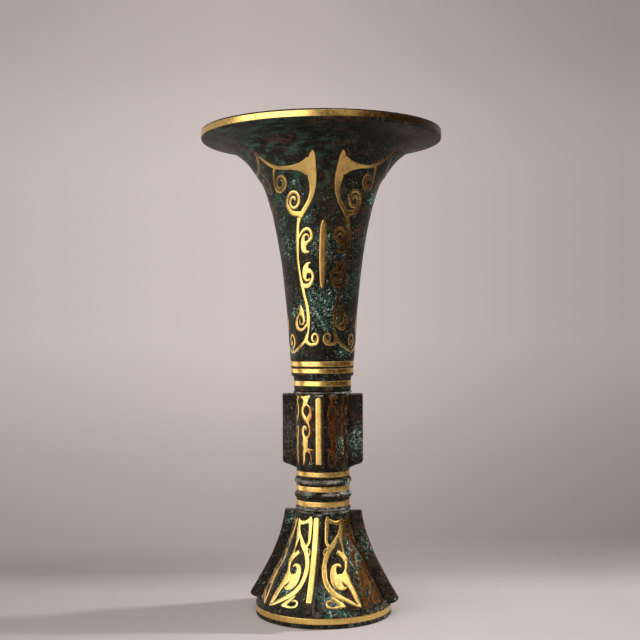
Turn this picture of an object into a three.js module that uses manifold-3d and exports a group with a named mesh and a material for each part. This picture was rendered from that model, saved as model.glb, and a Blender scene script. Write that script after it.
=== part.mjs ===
// Bronze gu wine vessel: a trumpet neck, a flanged knop and a spreading foot, cast one by one and
// soldered together, each with gold let into channels cut in the bronze.
// Millimetres, +Z up, the foot stands on z = 0 and the front faces -Y.
import * as THREE from 'three';
import { mergeVertices } from 'three/addons/utils/BufferGeometryUtils.js';
import Module from 'manifold-3d';

const wasm = await Module();
wasm.setup();

// Trumpet neck
const HEIGHT = 280;
const MOUTH_RADIUS = 70;
const LIP_LAND = 2.8;
const LIP_EDGE = [[70, 275], [69.6, 274.6], [68.2, 274.2]];
const LIP_INSIDE = 277;
const WALL = 2.6;
const NECK_UNITS = 3;
const COLLAR_TOP = 137.6;
const COLLAR_RADIUS = 16.8;
const COLLAR_ROUND = 0.4;
const NECK_BOTTOM = 128.8;
const SPIGOT_RADIUS = 13;
const SPIGOT_BORE = 10.6;
const SPIGOT_SHOULDER = 134.6;
const UPPER_SPIGOT_END = 118;

// Knop and the ridged lower neck under it
const KNOP_TOP = 127.4;
const KNOP_RADIUS = 17;
const KNOP_BODY_BOTTOM = 84.4;
const KNOP_UNDERSIDE = 83.2;
const KNOP_UNDERCUT = 1;
const LOWER_NECK_ROOT = 86;
const LOWER_NECK_RADIUS = 15.4;
const RIDGE_RADIUS = 16.6;
const RIDGE_HEIGHT = 1.6;
const UPPER_RIDGE = 76.9;
const LOWER_RIDGE = 68.6;
const KNOP_BOTTOM = 61.8;
const LOWER_SPIGOT_RADIUS = 13;
const LOWER_SPIGOT_END = 52;
const FLOOR_LEDGE = 85;
const FLOOR_THICKNESS = 2.4;

// Foot and the ring it stands on
const FOOT_TOP = 60.4;
const FOOT_BODY_BOTTOM = 8.6;
const FOOT_WALL = 4.2;
const FOOT_HOLLOW_TOP = 50;
const FOOT_BORE_END = 45;
const BASE_RING_RADIUS = 39.5;
const BASE_RING_TOP = 7;
const BASE_RING_WALL = 3.2;
const BASE_RING_ROOM = 6;
const GROOVE_DEPTH = 1.2;
const GROOVE_ROOT = 9;
const GROOVE_ROUND = 1;

// Flanges, and how square the knop and foot are
const FLANGES = 4;
const FLANGE_WIDTH = 4.6;
const FLANGE_ROOT = 2;
const FOOT_FLANGE_ROOT = 3.4;
const FLATNESS = 0.25;

// Room between neighbours, and how far a cut runs past what it cuts
const FIT = 0.3;
const PAST = 2;

// Solder rings reach a little past the castings
const UPPER_SOLDER_RADIUS = 17;
const LOWER_SOLDER_RADIUS = 16;

// Gold bands and strips are let into channels; the scrolls are thin plates laid on the ground
const GOLD_PROUD = 0.15;
const GOLD_DEPTH = 0.65;
const CHANNEL_DEPTH = 1;
const SCROLL_THICKNESS = 0.5;
const NARROWEST_HALF = 0.12;
const STRIP_WIDTH = 3.2;
const KNOP_STRIP = { top: 126, bottom: 88 };
const FOOT_STRIP = { top: 58.6, bottom: 14 };
const RIM_BAND = { radius: MOUTH_RADIUS, middle: 277.5, height: 3.6 };
const UPPER_NECK_BAND = { radius: 18.4, middle: 144.7, height: 3.1 };
const LOWER_NECK_BAND = { radius: 18.15, middle: 140.7, height: 2.8 };
const COLLAR_BAND = { radius: 16.65, middle: 133.4, height: 3.1 };
const KNOP_BANDS = {
  upper: { radius: LOWER_NECK_RADIUS, middle: 81.2, height: 2.9 },
  middle: { radius: LOWER_NECK_RADIUS, middle: 72.8, height: 3.1 },
  lower: { radius: LOWER_NECK_RADIUS, middle: 64.2, height: 3.1 },
};
const FOOT_BAND = { radius: BASE_RING_RADIUS, middle: 4.2, height: 3.4 };

// Turn of each ornament about the axis, from the front, and its lean from bottom to top, in degrees
const NECK_TURN = { z: 210, turn: 1.4, lean: 0.066 };
const KNOP_TURN = { z: 105, turn: -6, lean: 0 };
const FOOT_TURN = { z: 35, turn: -10.8, lean: 0.05 };

// The right half of the front ornament was cut by hand a little wider or narrower, and higher
const PLAIN_HAND = { spread: 1, lift: 0 };
const NECK_RIGHT = { spread: 1, lift: 0.04 };
const KNOP_RIGHT = { spread: 0.88, lift: 0 };
const FOOT_RIGHT = { spread: 1.08, lift: 0.04 };

// How finely round things are cut
const ROUND_STEPS = 32;
const SMALL_STEPS = 24;
const LARGE_RADIUS = 30;
const OUTLINE_STEPS = { neck: 18, flange: 7, foot: 6 };
const FINE_STEP = 0.5;
const STROKE_STEP = 9;
const BEND_STEP = 38;
const CURL_STEPS = 8;
const CHORD_ERROR = 0.2;
const SHORTEST_SPLIT = 7;
const WELD = 1e-4;

const deg = THREE.MathUtils.degToRad;
const vec2 = ([x, y]) => new THREE.Vector2(x, y);

const bronze = { color: 0x2f2a1f, metalness: 0.75, roughness: 0.6 };
const gold = { color: 0xd2a453, metalness: 1, roughness: 0.32 };
const solder = { color: 0x9a968a, metalness: 0.5, roughness: 0.8 };

// Outlines as radius and height, from the top down
const neckOutline = new THREE.SplineCurve([
  [66.8, 273.9], [58.6, 271.9], [52.4, 269.2], [47.8, 266], [43.5, 262], [37.7, 254.2], [33.3, 246.5],
  [28.1, 229], [23.8, 205], [21.2, 182], [19.3, 157], [18, 138],
].map(vec2)).getSpacedPoints(OUTLINE_STEPS.neck);

const footOutline = new THREE.SplineCurve([
  [17, FOOT_TOP], [17.8, 55], [20.8, 45], [25.4, 33.8], [33.3, 19.7], [39.2, FOOT_BODY_BOTTOM],
].map(vec2)).getSpacedPoints(OUTLINE_STEPS.foot);

const footFlangeFace = new THREE.SplineCurve([
  [22.5, 59.4], [23.1, 55], [25.7, 45], [30.2, 33.8], [37.8, 19.7], [42.9, 11.4], [44, 9.6],
].map(vec2)).getSpacedPoints(OUTLINE_STEPS.flange);
const footFlangeEnd = [[43.8, 8.7], [42.6, 7.6], [41, 6.9], [39.4, 6.6], [34, 6.6]].map(vec2);

const knopOutline = [[KNOP_RADIUS, KNOP_TOP], [KNOP_RADIUS, KNOP_BODY_BOTTOM]].map(vec2);
const knopFlangeCorner = vec2([22.6, 127.2]);
const knopFlangeFace = [[23.4, 126.4], [23.4, 87.9]].map(vec2);
const knopFlangeEnd = [[23, 87.1], [21.8, 86.4], [19.4, 85.7], [16.4, 84.4], [14.6, 83.4]].map(vec2);

// Radius and slope of an outline at one height
function surfaceAt(outline, z) {
  const below = outline.findIndex((p) => p.y <= z);
  const i = below < 0 ? outline.length - 1 : Math.max(below, 1);
  const slopeAt = (k) => {
    const a = outline[Math.max(k - 1, 0)];
    const b = outline[Math.min(k + 1, outline.length - 1)];
    return (a.x - b.x) / (a.y - b.y);
  };
  const [a, b] = [outline[i - 1], outline[i]];
  const t = (z - b.y) / (a.y - b.y);
  return { radius: b.x + t * (a.x - b.x), slope: slopeAt(i) + t * (slopeAt(i - 1) - slopeAt(i)) };
}

// The knop and the foot are rounded squares: full radius on the arrises, flatter at the flanges
function squareness(angle, flatness) {
  if (!flatness) return 1;
  const quarter = Math.PI / 2;
  const off = angle - Math.round(angle / quarter) * quarter;
  return (Math.cos(flatness * quarter / 2) / Math.cos(flatness * off)) ** (1 / flatness);
}

const turnAt = (place, z) => deg(place.turn + place.lean * (z - place.z));

// A closed mesh becomes a solid, turned the right way out
function toSolid(geometry) {
  const bare = geometry.index ? geometry.clone() : geometry;
  bare.deleteAttribute('normal');
  bare.deleteAttribute('uv');
  const merged = mergeVertices(bare, WELD);
  const positions = merged.attributes.position.array;
  const corners = Array.from(merged.index.array);
  const triangles = [];
  for (let i = 0; i < corners.length; i += 3) {
    const [a, b, c] = corners.slice(i, i + 3);
    if (a !== b && b !== c && c !== a) triangles.push(a, b, c);
  }
  const build = (list) => new wasm.Manifold(new wasm.Mesh({
    numProp: 3,
    vertProperties: Float32Array.from(positions),
    triVerts: Uint32Array.from(list),
  }));
  const solid = build(triangles);
  return solid.volume() > 0 ? solid : build(triangles.reverse());
}

function toGeometry(solid) {
  const { vertProperties, triVerts, numProp } = solid.getMesh();
  const points = [];
  for (let i = 0; i < vertProperties.length; i += numProp) {
    points.push(vertProperties[i], vertProperties[i + 1], vertProperties[i + 2]);
  }
  const geometry = new THREE.BufferGeometry();
  geometry.setAttribute('position', new THREE.Float32BufferAttribute(points, 3));
  geometry.setIndex(Array.from(triVerts));
  return geometry;
}

const addAll = (solids) => solids.reduce((sum, next) => sum.add(next));
const cutAll = (solid, cutters) => cutters.reduce((rest, cutter) => rest.subtract(cutter), solid);

// Moves every point of a solid
function reshape(solid, move) {
  const geometry = toGeometry(solid);
  const place = geometry.attributes.position;
  const point = new THREE.Vector3();
  for (let i = 0; i < place.count; i += 1) {
    move(point.fromBufferAttribute(place, i));
    place.setXYZ(i, point.x, point.y, point.z);
  }
  return toSolid(geometry);
}

// A closed outline of radius and height turned about the axis
function turned(outline, steps = ROUND_STEPS) {
  const points = outline.map((p) => (p.isVector2 ? p : vec2(p)));
  const geometry = new THREE.LatheGeometry([...points, points[0]], steps);
  return toSolid(geometry.rotateX(Math.PI / 2).rotateZ(deg(45)));
}

const ring = (inner, outer, bottom, top) => turned([
  [inner, bottom], [outer, bottom], [outer, top], [inner, top],
], outer > LARGE_RADIUS ? ROUND_STEPS : SMALL_STEPS);

// Turns points about the axis by the section's turn and lean
function setTurn(solid, place) {
  return reshape(solid, (p) => p.applyAxisAngle(new THREE.Vector3(0, 0, 1), turnAt(place, p.z)));
}

// The same outline moved square to itself
function offset(outline, distance) {
  return outline.map((p, i) => {
    const before = outline[Math.max(i - 1, 0)];
    const after = outline[Math.min(i + 1, outline.length - 1)];
    const along = new THREE.Vector2().subVectors(after, before).normalize();
    return new THREE.Vector2(p.x - along.y * distance, p.y + along.x * distance);
  });
}

// Where a stroke is sampled: wherever it has bent or run on far enough
function stationsAlong(line) {
  const length = line.getLength();
  const count = Math.ceil(length / FINE_STEP);
  const kept = [0];
  let bent = 0;
  for (let i = 1; i < count - 1; i += 1) {
    bent += line.getTangentAt((i - 1) / count).angleTo(line.getTangentAt(i / count));
    const run = (i / count - kept.at(-1)) * length;
    if (bent > deg(BEND_STEP) || run > STROKE_STEP) {
      kept.push(i / count);
      bent = 0;
    }
  }
  return [...kept, 1];
}

// A stroke is a smooth line of [across, height, half width]; it is cut out as a flat plate
function strokePlate(points) {
  const line = new THREE.CatmullRomCurve3(points.map((p) => new THREE.Vector3(...p)));
  const left = [];
  const right = [];
  for (const t of stationsAlong(line)) {
    const p = line.getPointAt(t);
    const along = line.getTangentAt(t);
    const side = new THREE.Vector2(-along.y, along.x).normalize();
    const half = Math.max(p.z, NARROWEST_HALF);
    left.push(new THREE.Vector2(p.x + side.x * half, p.y + side.y * half));
    right.unshift(new THREE.Vector2(p.x - side.x * half, p.y - side.y * half));
  }
  const plate = new THREE.ExtrudeGeometry(new THREE.Shape([...left, ...right]), {
    depth: SCROLL_THICKNESS, bevelEnabled: false,
  });
  return toSolid(plate.translate(0, 0, FIT));
}

// A curl: radii and half widths go from the first value to the second over some turns, from an angle
function spiral(centre, radii, start, turns, halves, tall = 1, ease = 1) {
  const steps = Math.max(4, Math.round(Math.abs(turns) * CURL_STEPS));
  return Array.from({ length: steps + 1 }, (_, i) => {
    const t = i / steps;
    const radius = radii[1] + (radii[0] - radii[1]) * (1 - t) ** ease;
    const angle = deg(start) + 2 * Math.PI * turns * t;
    const half = THREE.MathUtils.lerp(halves[0], halves[1], t);
    return [centre[0] + radius * Math.cos(angle), centre[1] + tall * radius * Math.sin(angle), half];
  });
}

// Splits the edges of a flat mesh that would bow away from the curved surface
function refine(points, triangles, wrap) {
  const wrapped = new Map();
  const middles = new Map();
  const at = (i) => {
    if (!wrapped.has(i)) wrapped.set(i, wrap(points[i].clone()));
    return wrapped.get(i);
  };
  const middle = (a, b) => {
    const key = a < b ? `${a},${b}` : `${b},${a}`;
    if (!middles.has(key)) {
      const flat = points[a].clone().add(points[b]).multiplyScalar(0.5);
      const chord = at(a).clone().add(at(b)).multiplyScalar(0.5);
      const long = points[a].distanceTo(points[b]) > SHORTEST_SPLIT;
      const bows = long && chord.distanceTo(wrap(flat.clone())) > CHORD_ERROR;
      middles.set(key, bows ? points.push(flat) - 1 : -1);
    }
    return middles.get(key);
  };
  let split = false;
  const result = [];
  for (const [a, b, c] of triangles) {
    const [ab, bc, ca] = [middle(a, b), middle(b, c), middle(c, a)];
    const corners = [[a, ab], [b, bc], [c, ca]].flat().filter((i) => i >= 0);
    split = split || corners.length > 3;
    if (corners.length === 6) {
      result.push([a, ab, ca], [ab, b, bc], [ca, bc, c], [ab, bc, ca]);
    } else {
      const first = corners.findIndex((i) => i === ab || i === bc || i === ca);
      const fan = first < 0 ? corners : [...corners.slice(first), ...corners.slice(0, first)];
      for (let i = 1; i < fan.length - 1; i += 1) result.push([fan[0], fan[i], fan[i + 1]]);
    }
  }
  return split ? refine(points, result, wrap) : result;
}

// Lays flat plates on the curved bronze: x runs round it, y is height, z stands off it
function laid(strokes, surface) {
  const flat = addAll(strokes.map(strokePlate));
  const mesh = toGeometry(flat);
  const place = mesh.attributes.position;
  const points = Array.from({ length: place.count }, (_, i) => (
    new THREE.Vector3().fromBufferAttribute(place, i)));
  const index = mesh.index.array;
  const triangles = Array.from({ length: index.length / 3 }, (_, i) => index.slice(3 * i, 3 * i + 3));
  const wrap = (p) => {
    const z = p.y + p.x * surface.hand.lift;
    const { radius, slope } = surfaceAt(surface.outline, z);
    const across = (surface.side * surface.hand.spread * p.x) / radius;
    const steep = Math.hypot(1, slope);
    const reach = radius * squareness(across, surface.flatness) + p.z / steep;
    const angle = surface.unit + turnAt(surface.place, z) + across;
    return p.set(reach * Math.sin(angle), -reach * Math.cos(angle), z - (p.z * slope) / steep);
  };
  const fine = refine(points, triangles, wrap);
  const geometry = new THREE.BufferGeometry().setFromPoints(points.map(wrap));
  geometry.setIndex(fine.flat());
  return toSolid(geometry);
}

const object = new THREE.Group();

function addPiece(name, solid, finish) {
  const mesh = new THREE.Mesh(toGeometry(solid), new THREE.MeshStandardMaterial(finish));
  mesh.name = name;
  object.add(mesh);
}

// A motif on one side of a surface; the left side and the plain hand are the usual ones
function addScroll(name, strokes, surface) {
  addPiece(name, laid(strokes, { side: -1, hand: PLAIN_HAND, ...surface }), gold);
}

// Gold band round a plain neck, and its channel
function addBand(name, { radius, middle, height }, channels) {
  const [low, high] = [middle - height / 2, middle + height / 2];
  addPiece(name, ring(radius - GOLD_DEPTH, radius + GOLD_PROUD, low, high), gold);
  channels.push(ring(radius - CHANNEL_DEPTH, radius + CHANNEL_DEPTH, low - FIT, high + FIT));
}

// A plate standing in the plane of the axis, as a flange does
function upright(outline, width) {
  const plate = new THREE.ExtrudeGeometry(new THREE.Shape(outline), { depth: width, bevelEnabled: false });
  return toSolid(plate.translate(0, 0, -width / 2).rotateX(Math.PI / 2).rotateZ(-Math.PI / 2));
}

const around = (solid, count, i) => solid.rotate([0, 0, (360 / count) * i]);

// A gold strip let into the face of a flange between two heights
function stripOutline(face, top, bottom, inner, outer) {
  const middle = face.filter((p) => p.y < top - STRIP_WIDTH / 2 && p.y > bottom + STRIP_WIDTH / 2);
  const line = [top, ...middle.map((p) => p.y), bottom].map((z) => (
    new THREE.Vector2(surfaceAt(face, z).radius, z)));
  return [...offset(line, outer), ...offset(line, inner).reverse()];
}

function addStrips(section, face, { top, bottom }, place, channels) {
  const strip = upright(stripOutline(face, top, bottom, -GOLD_DEPTH, GOLD_PROUD), STRIP_WIDTH);
  const channel = upright(
    stripOutline(face, top + FIT, bottom - FIT, -CHANNEL_DEPTH, CHANNEL_DEPTH),
    STRIP_WIDTH + 2 * FIT,
  );
  for (let i = 0; i < FLANGES; i += 1) {
    addPiece(`${section}_flange_strip_${i + 1}`, setTurn(around(strip, FLANGES, i), place), gold);
    channels.push(setTurn(around(channel, FLANGES, i), place));
  }
}

// Neck scroll, one half of a unit: horn, arm, spirals, stem, commas, leaf and foot curl
const neckScroll = [
  [[8.4, 262.8, 0.1], [8.6, 260.2, 1.6], [8.3, 255.5, 2.2], [7.7, 250, 2.4], [7.1, 245.5, 1.9],
    [7.3, 240.8, 1.4], [8.9, 236, 1.15], [11.9, 231, 1.25], [14.1, 227.4, 1.15]],
  [[8.4, 254.8, 4.7], [11.3, 254.7, 4.3], [13.8, 254.6, 2.8], [17, 254.5, 1.7], [21, 254.5, 1.05],
    [27, 254.7, 0.85], [33, 256.1, 0.9], [39, 258.8, 0.75], [44.5, 262, 0.5], [48.5, 265.6, 0.1]],
  [[31.4, 255.9, 1.2], [32.5, 253.4, 1], [32.8, 250.2, 0.95],
    ...spiral([27.8, 247.2], [4.9, 1.5], -10, -1.75, [0.9, 0.4])],
  [[13.2, 229.7, 1.2], [16.5, 229.8, 1.4], [19.6, 230.8, 1.15], [21.6, 233, 0.9],
    ...spiral([18.3, 236.7], [4.7, 1.5], -10, 1.35, [0.85, 0.8], 1.22, 0.9), [17, 236.6, 0.3]],
  [[14.3, 227.6, 1.2], [15.1, 222.8, 0.9], [15.2, 217, 1.1], [15.2, 210, 0.85], [14.7, 203, 0.75],
    [13.3, 195, 0.75], [11.9, 189.6, 1], [10.4, 183.8, 0.8], [8.7, 178.2, 0.9], [7.7, 172, 0.9],
    [7.6, 168.4, 1], [7.4, 164.4, 0.5], [8.3, 160.7, 0.85], [9.2, 158, 1.3]],
  [[14.6, 215.8, 0.4], [13.3, 218.2, 0.6], [11.7, 220.2, 0.85], [9.7, 221.2, 0.95], [7.7, 220.4, 0.85],
    [6.6, 218, 0.75], [7.1, 215.5, 0.7], [9.1, 213.8, 0.85], [10.6, 212.5, 1.4]],
  [[8, 215.2, 0.35], [8.3, 217.1, 0.4], [9.7, 218.1, 0.65], [11.2, 217.1, 0.8], [11.7, 214.7, 1.2],
    [11.3, 211.8, 1.6], [10.8, 209.2, 1.4], [9.1, 208.3, 0.8], [7.5, 208.7, 0.2]],
  [[12.2, 190.4, 0.8], [9.9, 189.2, 1.3], [7.6, 189.7, 1.15], [6, 191.8, 0.8], [5.3, 194.4, 0.75],
    [6.1, 196.7, 0.85], [7.7, 197.7, 1.3], [9.1, 198, 1.7]],
  [[6.5, 202.5, 0.1], [7.9, 202.1, 0.6], [9.1, 201, 1.15], [10, 198.6, 1.6], [10.4, 195.6, 1.35],
    [10.1, 193.4, 0.95], [8.9, 192.3, 0.65], [7.6, 192.7, 0.55], [7.1, 193.8, 0.35]],
  [[13.1, 178.8, 0.1], [12.7, 176.8, 1], [12.1, 174.3, 1.5], [11.1, 171.9, 0.95], [10.5, 169.3, 0.6],
    [11.2, 167.6, 0.5], [12.6, 167.4, 0.4], [13.6, 168.9, 0.45], [13.2, 170.9, 0.3]],
  [[13.3, 174, 0.6], [14.9, 171.8, 0.7], [15.9, 168.9, 0.8], [15.2, 165.8, 1], [13, 164.3, 0.85],
    [10.7, 164.9, 0.75], [8.2, 167.6, 0.8]],
  [[9, 158.2, 1.2], [7.7, 156.7, 0.95], [6, 155.8, 0.8],
    ...spiral([3.7, 159.3], [2.2, 0.6], -75, -1.3, [0.8, 0.35], 1.55, 0.6)],
  [[9.1, 158.5, 1], [10.7, 156.8, 0.9], [12.9, 154.9, 0.8], [16.4, 152.5, 0.75], [19.4, 151, 0.5]],
];

const neckLens = [
  [[0, 226.3, 0.4], [0, 224.8, 1.1], [0, 221.5, 1.8], [0, 214.5, 2], [0, 205, 1.95], [0, 197, 1.6],
    [0, 190.8, 1.15], [0, 187.8, 0.4]],
];

const neckPendant = [
  [[0, 153.4, 0.5], [-2.4, 156, 0.55], [-2.3, 159.4, 0.55], [0, 161.6, 0.55], [2.3, 159.2, 0.55],
    [1.9, 156, 0.5], [0.2, 156.4, 0.5], [0, 158.6, 0.45]],
];

// Knop scroll, one half of a panel: crown, eyes, body and hooked tail
const knopScroll = [
  [[12.8, 126, 0.25], [11, 125.2, 0.8], [9.1, 125.2, 1.15], [7.4, 125.7, 0.95], [6.3, 126.6, 0.25]],
  [[9.2, 124.9, 1.9], [9.4, 122.9, 1.5], [10.1, 121.3, 1.25], [11.2, 119.4, 0.8], [11.5, 117.4, 0.7],
    [11, 115.6, 0.8], [9.6, 113.5, 1.15], [8.1, 111.3, 0.85], [7, 108.8, 0.6], [6.5, 106.2, 0.5],
    [7, 104, 0.6], [8.2, 102.1, 0.9]],
  [[8.6, 121.4, 0.5], [6.9, 120.2, 0.6], [6.1, 117.9, 0.7], [6.2, 115.5, 1.15], [7, 113.5, 1.4],
    [8, 111.5, 0.85]],
  [[8.8, 106.5, 0.3], [9.2, 108.1, 0.75], [10.3, 108.5, 0.9], [11.1, 106.9, 0.85], [11.2, 105, 0.7],
    [10.5, 103, 1.05], [9.5, 101.3, 1.65], [9.6, 99, 1.8], [9.5, 97, 1.5], [9.4, 95.3, 1.55],
    [10.3, 93.8, 1], [10.4, 91.5, 0.75], [10.5, 88.8, 0.65], [10.9, 86.7, 0.2]],
  [[9, 95.3, 1.1], [7.3, 94.5, 0.6], [6.2, 92.9, 0.45], [5.7, 90.5, 0.4], [5.5, 88, 0.2]],
  [[8.5, 95.9, 0.8], [6, 95.5, 0.5], [3.6, 95.6, 0.25]],
];

// Foot scroll, one half of a panel: two long strands, crown, crescent and broad leaf
const footScroll = [
  [[12.9, 56.4, 0.2], [12.7, 54, 0.8], [12.8, 50.5, 1], [12.6, 47.6, 1.45], [13.1, 44.8, 0.9],
    [14.1, 41, 0.45], [15.3, 37, 0.5], [16.7, 33.8, 0.9], [17.2, 31, 0.8], [17.1, 28, 0.9],
    [16.9, 26, 1.9], [18, 23.6, 2.1], [20, 21, 1.3], [22.6, 17.3, 1.15], [25.2, 13, 1.05],
    [27.7, 9.2, 0.2]],
  [[16.7, 33, 1], [15.6, 34.9, 1.15], [13.7, 36.7, 1.15], [11.4, 38.3, 1]],
  [[12.5, 48.2, 0.9], [10.5, 45, 1.05], [9, 41.8, 1.5], [7, 38.9, 1.4], [5.5, 34.8, 1.35],
    [5, 31.5, 1.3], [5.4, 28, 1.4], [6.5, 24.2, 1.25], [8.6, 20.6, 1.25], [12, 17.2, 1.25],
    [16.6, 14.7, 1.1], [21.2, 12.4, 0.95], [25, 10.4, 0.6], [28.1, 9, 0.12]],
  [[4.9, 57.6, 0.6], [4.9, 54.8, 1.2], [4.8, 51, 1], [4.9, 47.3, 0.95], [5.1, 43.8, 0.75],
    [6.5, 41.4, 0.75], [7.4, 39.9, 0.95]],
  [[12.4, 54, 1.35], [10.4, 53.8, 1.05], [8.4, 54.2, 0.85], [5.3, 55.5, 1.2]],
  [[6.7, 39.8, 0.45], [5.2, 40.1, 0.45], [4.2, 39, 0.45], [4.2, 37.8, 0.45], [4.9, 36.6, 0.5]],
  [[14, 29.8, 0.3], [13.9, 30.9, 0.6], [12.3, 31.4, 0.8], [10.7, 30.4, 1.4], [10.3, 28.4, 1.6],
    [10.9, 26, 1.95], [12.2, 23.8, 2.5], [13.8, 21.7, 2.4], [15.4, 20.2, 1.7], [17.1, 19.4, 1.05],
    [18.3, 19.6, 0.6], [18.6, 20.1, 0.3]],
  [[16.9, 24.9, 1.6], [14.5, 24.7, 2.1], [12.1, 24.6, 1.8]],
];

const cornerScroll = [
  [[19.4, 10.2, 0.2], [17.1, 11.4, 1], [14.8, 12.9, 0.9], [12.6, 14.5, 0.7], [9.7, 16.4, 0.1]],
  [[18.9, 10.3, 0.25], [16.8, 10.6, 0.8], [14.4, 10.2, 0.6], [12.2, 10.2, 0.45], [10.1, 10.6, 0.5],
    [8.9, 11.6, 0.55], [8.8, 12.8, 0.6], [9.9, 13.6, 0.5], [11.5, 13.5, 0.4], [12.2, 12.8, 0.4]],
];

const neckChannels = [];
const knopChannels = [];
const footChannels = [];

// Trumpet neck: flared mouth, collar with its gold bands, and a spigot that drops into the knop
function addNeck() {
  const inside = offset(neckOutline, -WALL).filter((p, i) => i % 2 && p.y < LIP_INSIDE);
  const outline = [
    [MOUTH_RADIUS - LIP_LAND, HEIGHT], [MOUTH_RADIUS, HEIGHT], ...LIP_EDGE, ...neckOutline,
    [COLLAR_RADIUS, COLLAR_TOP - COLLAR_ROUND], [COLLAR_RADIUS - FIT, NECK_BOTTOM],
    [SPIGOT_RADIUS, NECK_BOTTOM], [SPIGOT_RADIUS, UPPER_SPIGOT_END], [SPIGOT_BORE, UPPER_SPIGOT_END],
    [SPIGOT_BORE, SPIGOT_SHOULDER], ...inside.reverse(),
  ];
  addBand('rim_gold_band', RIM_BAND, neckChannels);
  addBand('neck_gold_band_upper', UPPER_NECK_BAND, neckChannels);
  addBand('neck_gold_band_lower', LOWER_NECK_BAND, neckChannels);
  addBand('collar_gold_band', COLLAR_BAND, neckChannels);
  for (let i = 0; i < NECK_UNITS; i += 1) {
    const unit = (2 * Math.PI * i) / NECK_UNITS;
    const surface = { outline: neckOutline, place: NECK_TURN, flatness: 0, unit };
    addScroll(`neck_scroll_${i + 1}_left`, neckScroll, surface);
    const hand = i ? PLAIN_HAND : NECK_RIGHT;
    addScroll(`neck_scroll_${i + 1}_right`, neckScroll, { ...surface, side: 1, hand });
    addScroll(`neck_lens_${i + 1}`, neckLens, surface);
    addScroll(`neck_pendant_${i + 1}`, neckPendant, { ...surface, unit: unit + Math.PI / NECK_UNITS });
  }
  addPiece('trumpet_neck', cutAll(turned(outline), neckChannels), bronze);
}

// Rounded-square body of the knop or the foot
function squared(outline) {
  return reshape(turned(outline), (p) => {
    const factor = squareness(Math.atan2(p.x, -p.y), FLATNESS);
    p.x *= factor;
    p.y *= factor;
  });
}

function addPanels(name, strokes, outline, place, frontHand) {
  for (let i = 0; i < FLANGES; i += 1) {
    const unit = (2 * Math.PI * i) / FLANGES;
    const surface = { outline, place, flatness: FLATNESS, unit };
    const hand = i ? PLAIN_HAND : frontHand;
    addScroll(`${name}_${i + 1}_left`, strokes, surface);
    addScroll(`${name}_${i + 1}_right`, strokes, { ...surface, side: 1, hand });
  }
}

// Knop with its four flanges and the ridged lower neck, bored for the spigot and the well floor
function addKnop() {
  const rootRadius = LOWER_NECK_RADIUS - FLANGE_ROOT;
  const flange = upright([
    vec2([rootRadius, knopFlangeCorner.y]), knopFlangeCorner, ...knopFlangeFace, ...knopFlangeEnd,
    vec2([rootRadius, KNOP_UNDERSIDE]),
  ], FLANGE_WIDTH);
  const flanges = Array.from({ length: FLANGES }, (_, i) => around(flange, FLANGES, i));
  const body = squared([
    [0, KNOP_TOP], ...knopOutline, [KNOP_RADIUS - KNOP_UNDERCUT, KNOP_UNDERSIDE], [0, KNOP_UNDERSIDE],
  ]);
  const ridge = (z) => [
    [LOWER_NECK_RADIUS, z + RIDGE_HEIGHT], [RIDGE_RADIUS, z + RIDGE_HEIGHT / 2],
    [RIDGE_RADIUS, z - RIDGE_HEIGHT / 2], [LOWER_NECK_RADIUS, z - RIDGE_HEIGHT],
  ];
  const lower = turned([
    [0, LOWER_NECK_ROOT], [LOWER_NECK_RADIUS, LOWER_NECK_ROOT], ...ridge(UPPER_RIDGE),
    ...ridge(LOWER_RIDGE), [LOWER_NECK_RADIUS, KNOP_BOTTOM], [LOWER_SPIGOT_RADIUS, KNOP_BOTTOM],
    [LOWER_SPIGOT_RADIUS, LOWER_SPIGOT_END], [0, LOWER_SPIGOT_END],
  ], SMALL_STEPS);
  const bore = turned([
    [0, KNOP_TOP + PAST], [SPIGOT_RADIUS + FIT, KNOP_TOP + PAST], [SPIGOT_RADIUS + FIT, FLOOR_LEDGE],
    [LOWER_SPIGOT_RADIUS - WALL, FLOOR_LEDGE], [LOWER_SPIGOT_RADIUS - WALL, LOWER_SPIGOT_END - PAST],
    [0, LOWER_SPIGOT_END - PAST],
  ], SMALL_STEPS);
  addStrips('knop', knopFlangeFace, KNOP_STRIP, KNOP_TURN, knopChannels);
  addPanels('knop_scroll', knopScroll, knopOutline, KNOP_TURN, KNOP_RIGHT);
  for (const [place, band] of Object.entries(KNOP_BANDS)) {
    addBand(`lower_neck_gold_band_${place}`, band, knopChannels);
  }
  const whole = setTurn(addAll([body, ...flanges]), KNOP_TURN).add(lower).subtract(bore);
  addPiece('middle_knop', cutAll(whole, knopChannels), bronze);
  addPiece('well_floor', turned([
    [0, FLOOR_LEDGE + FIT], [SPIGOT_RADIUS - FIT, FLOOR_LEDGE + FIT],
    [SPIGOT_RADIUS - FIT, FLOOR_LEDGE + FLOOR_THICKNESS], [0, FLOOR_LEDGE + FLOOR_THICKNESS],
  ], SMALL_STEPS), bronze);
}

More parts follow.
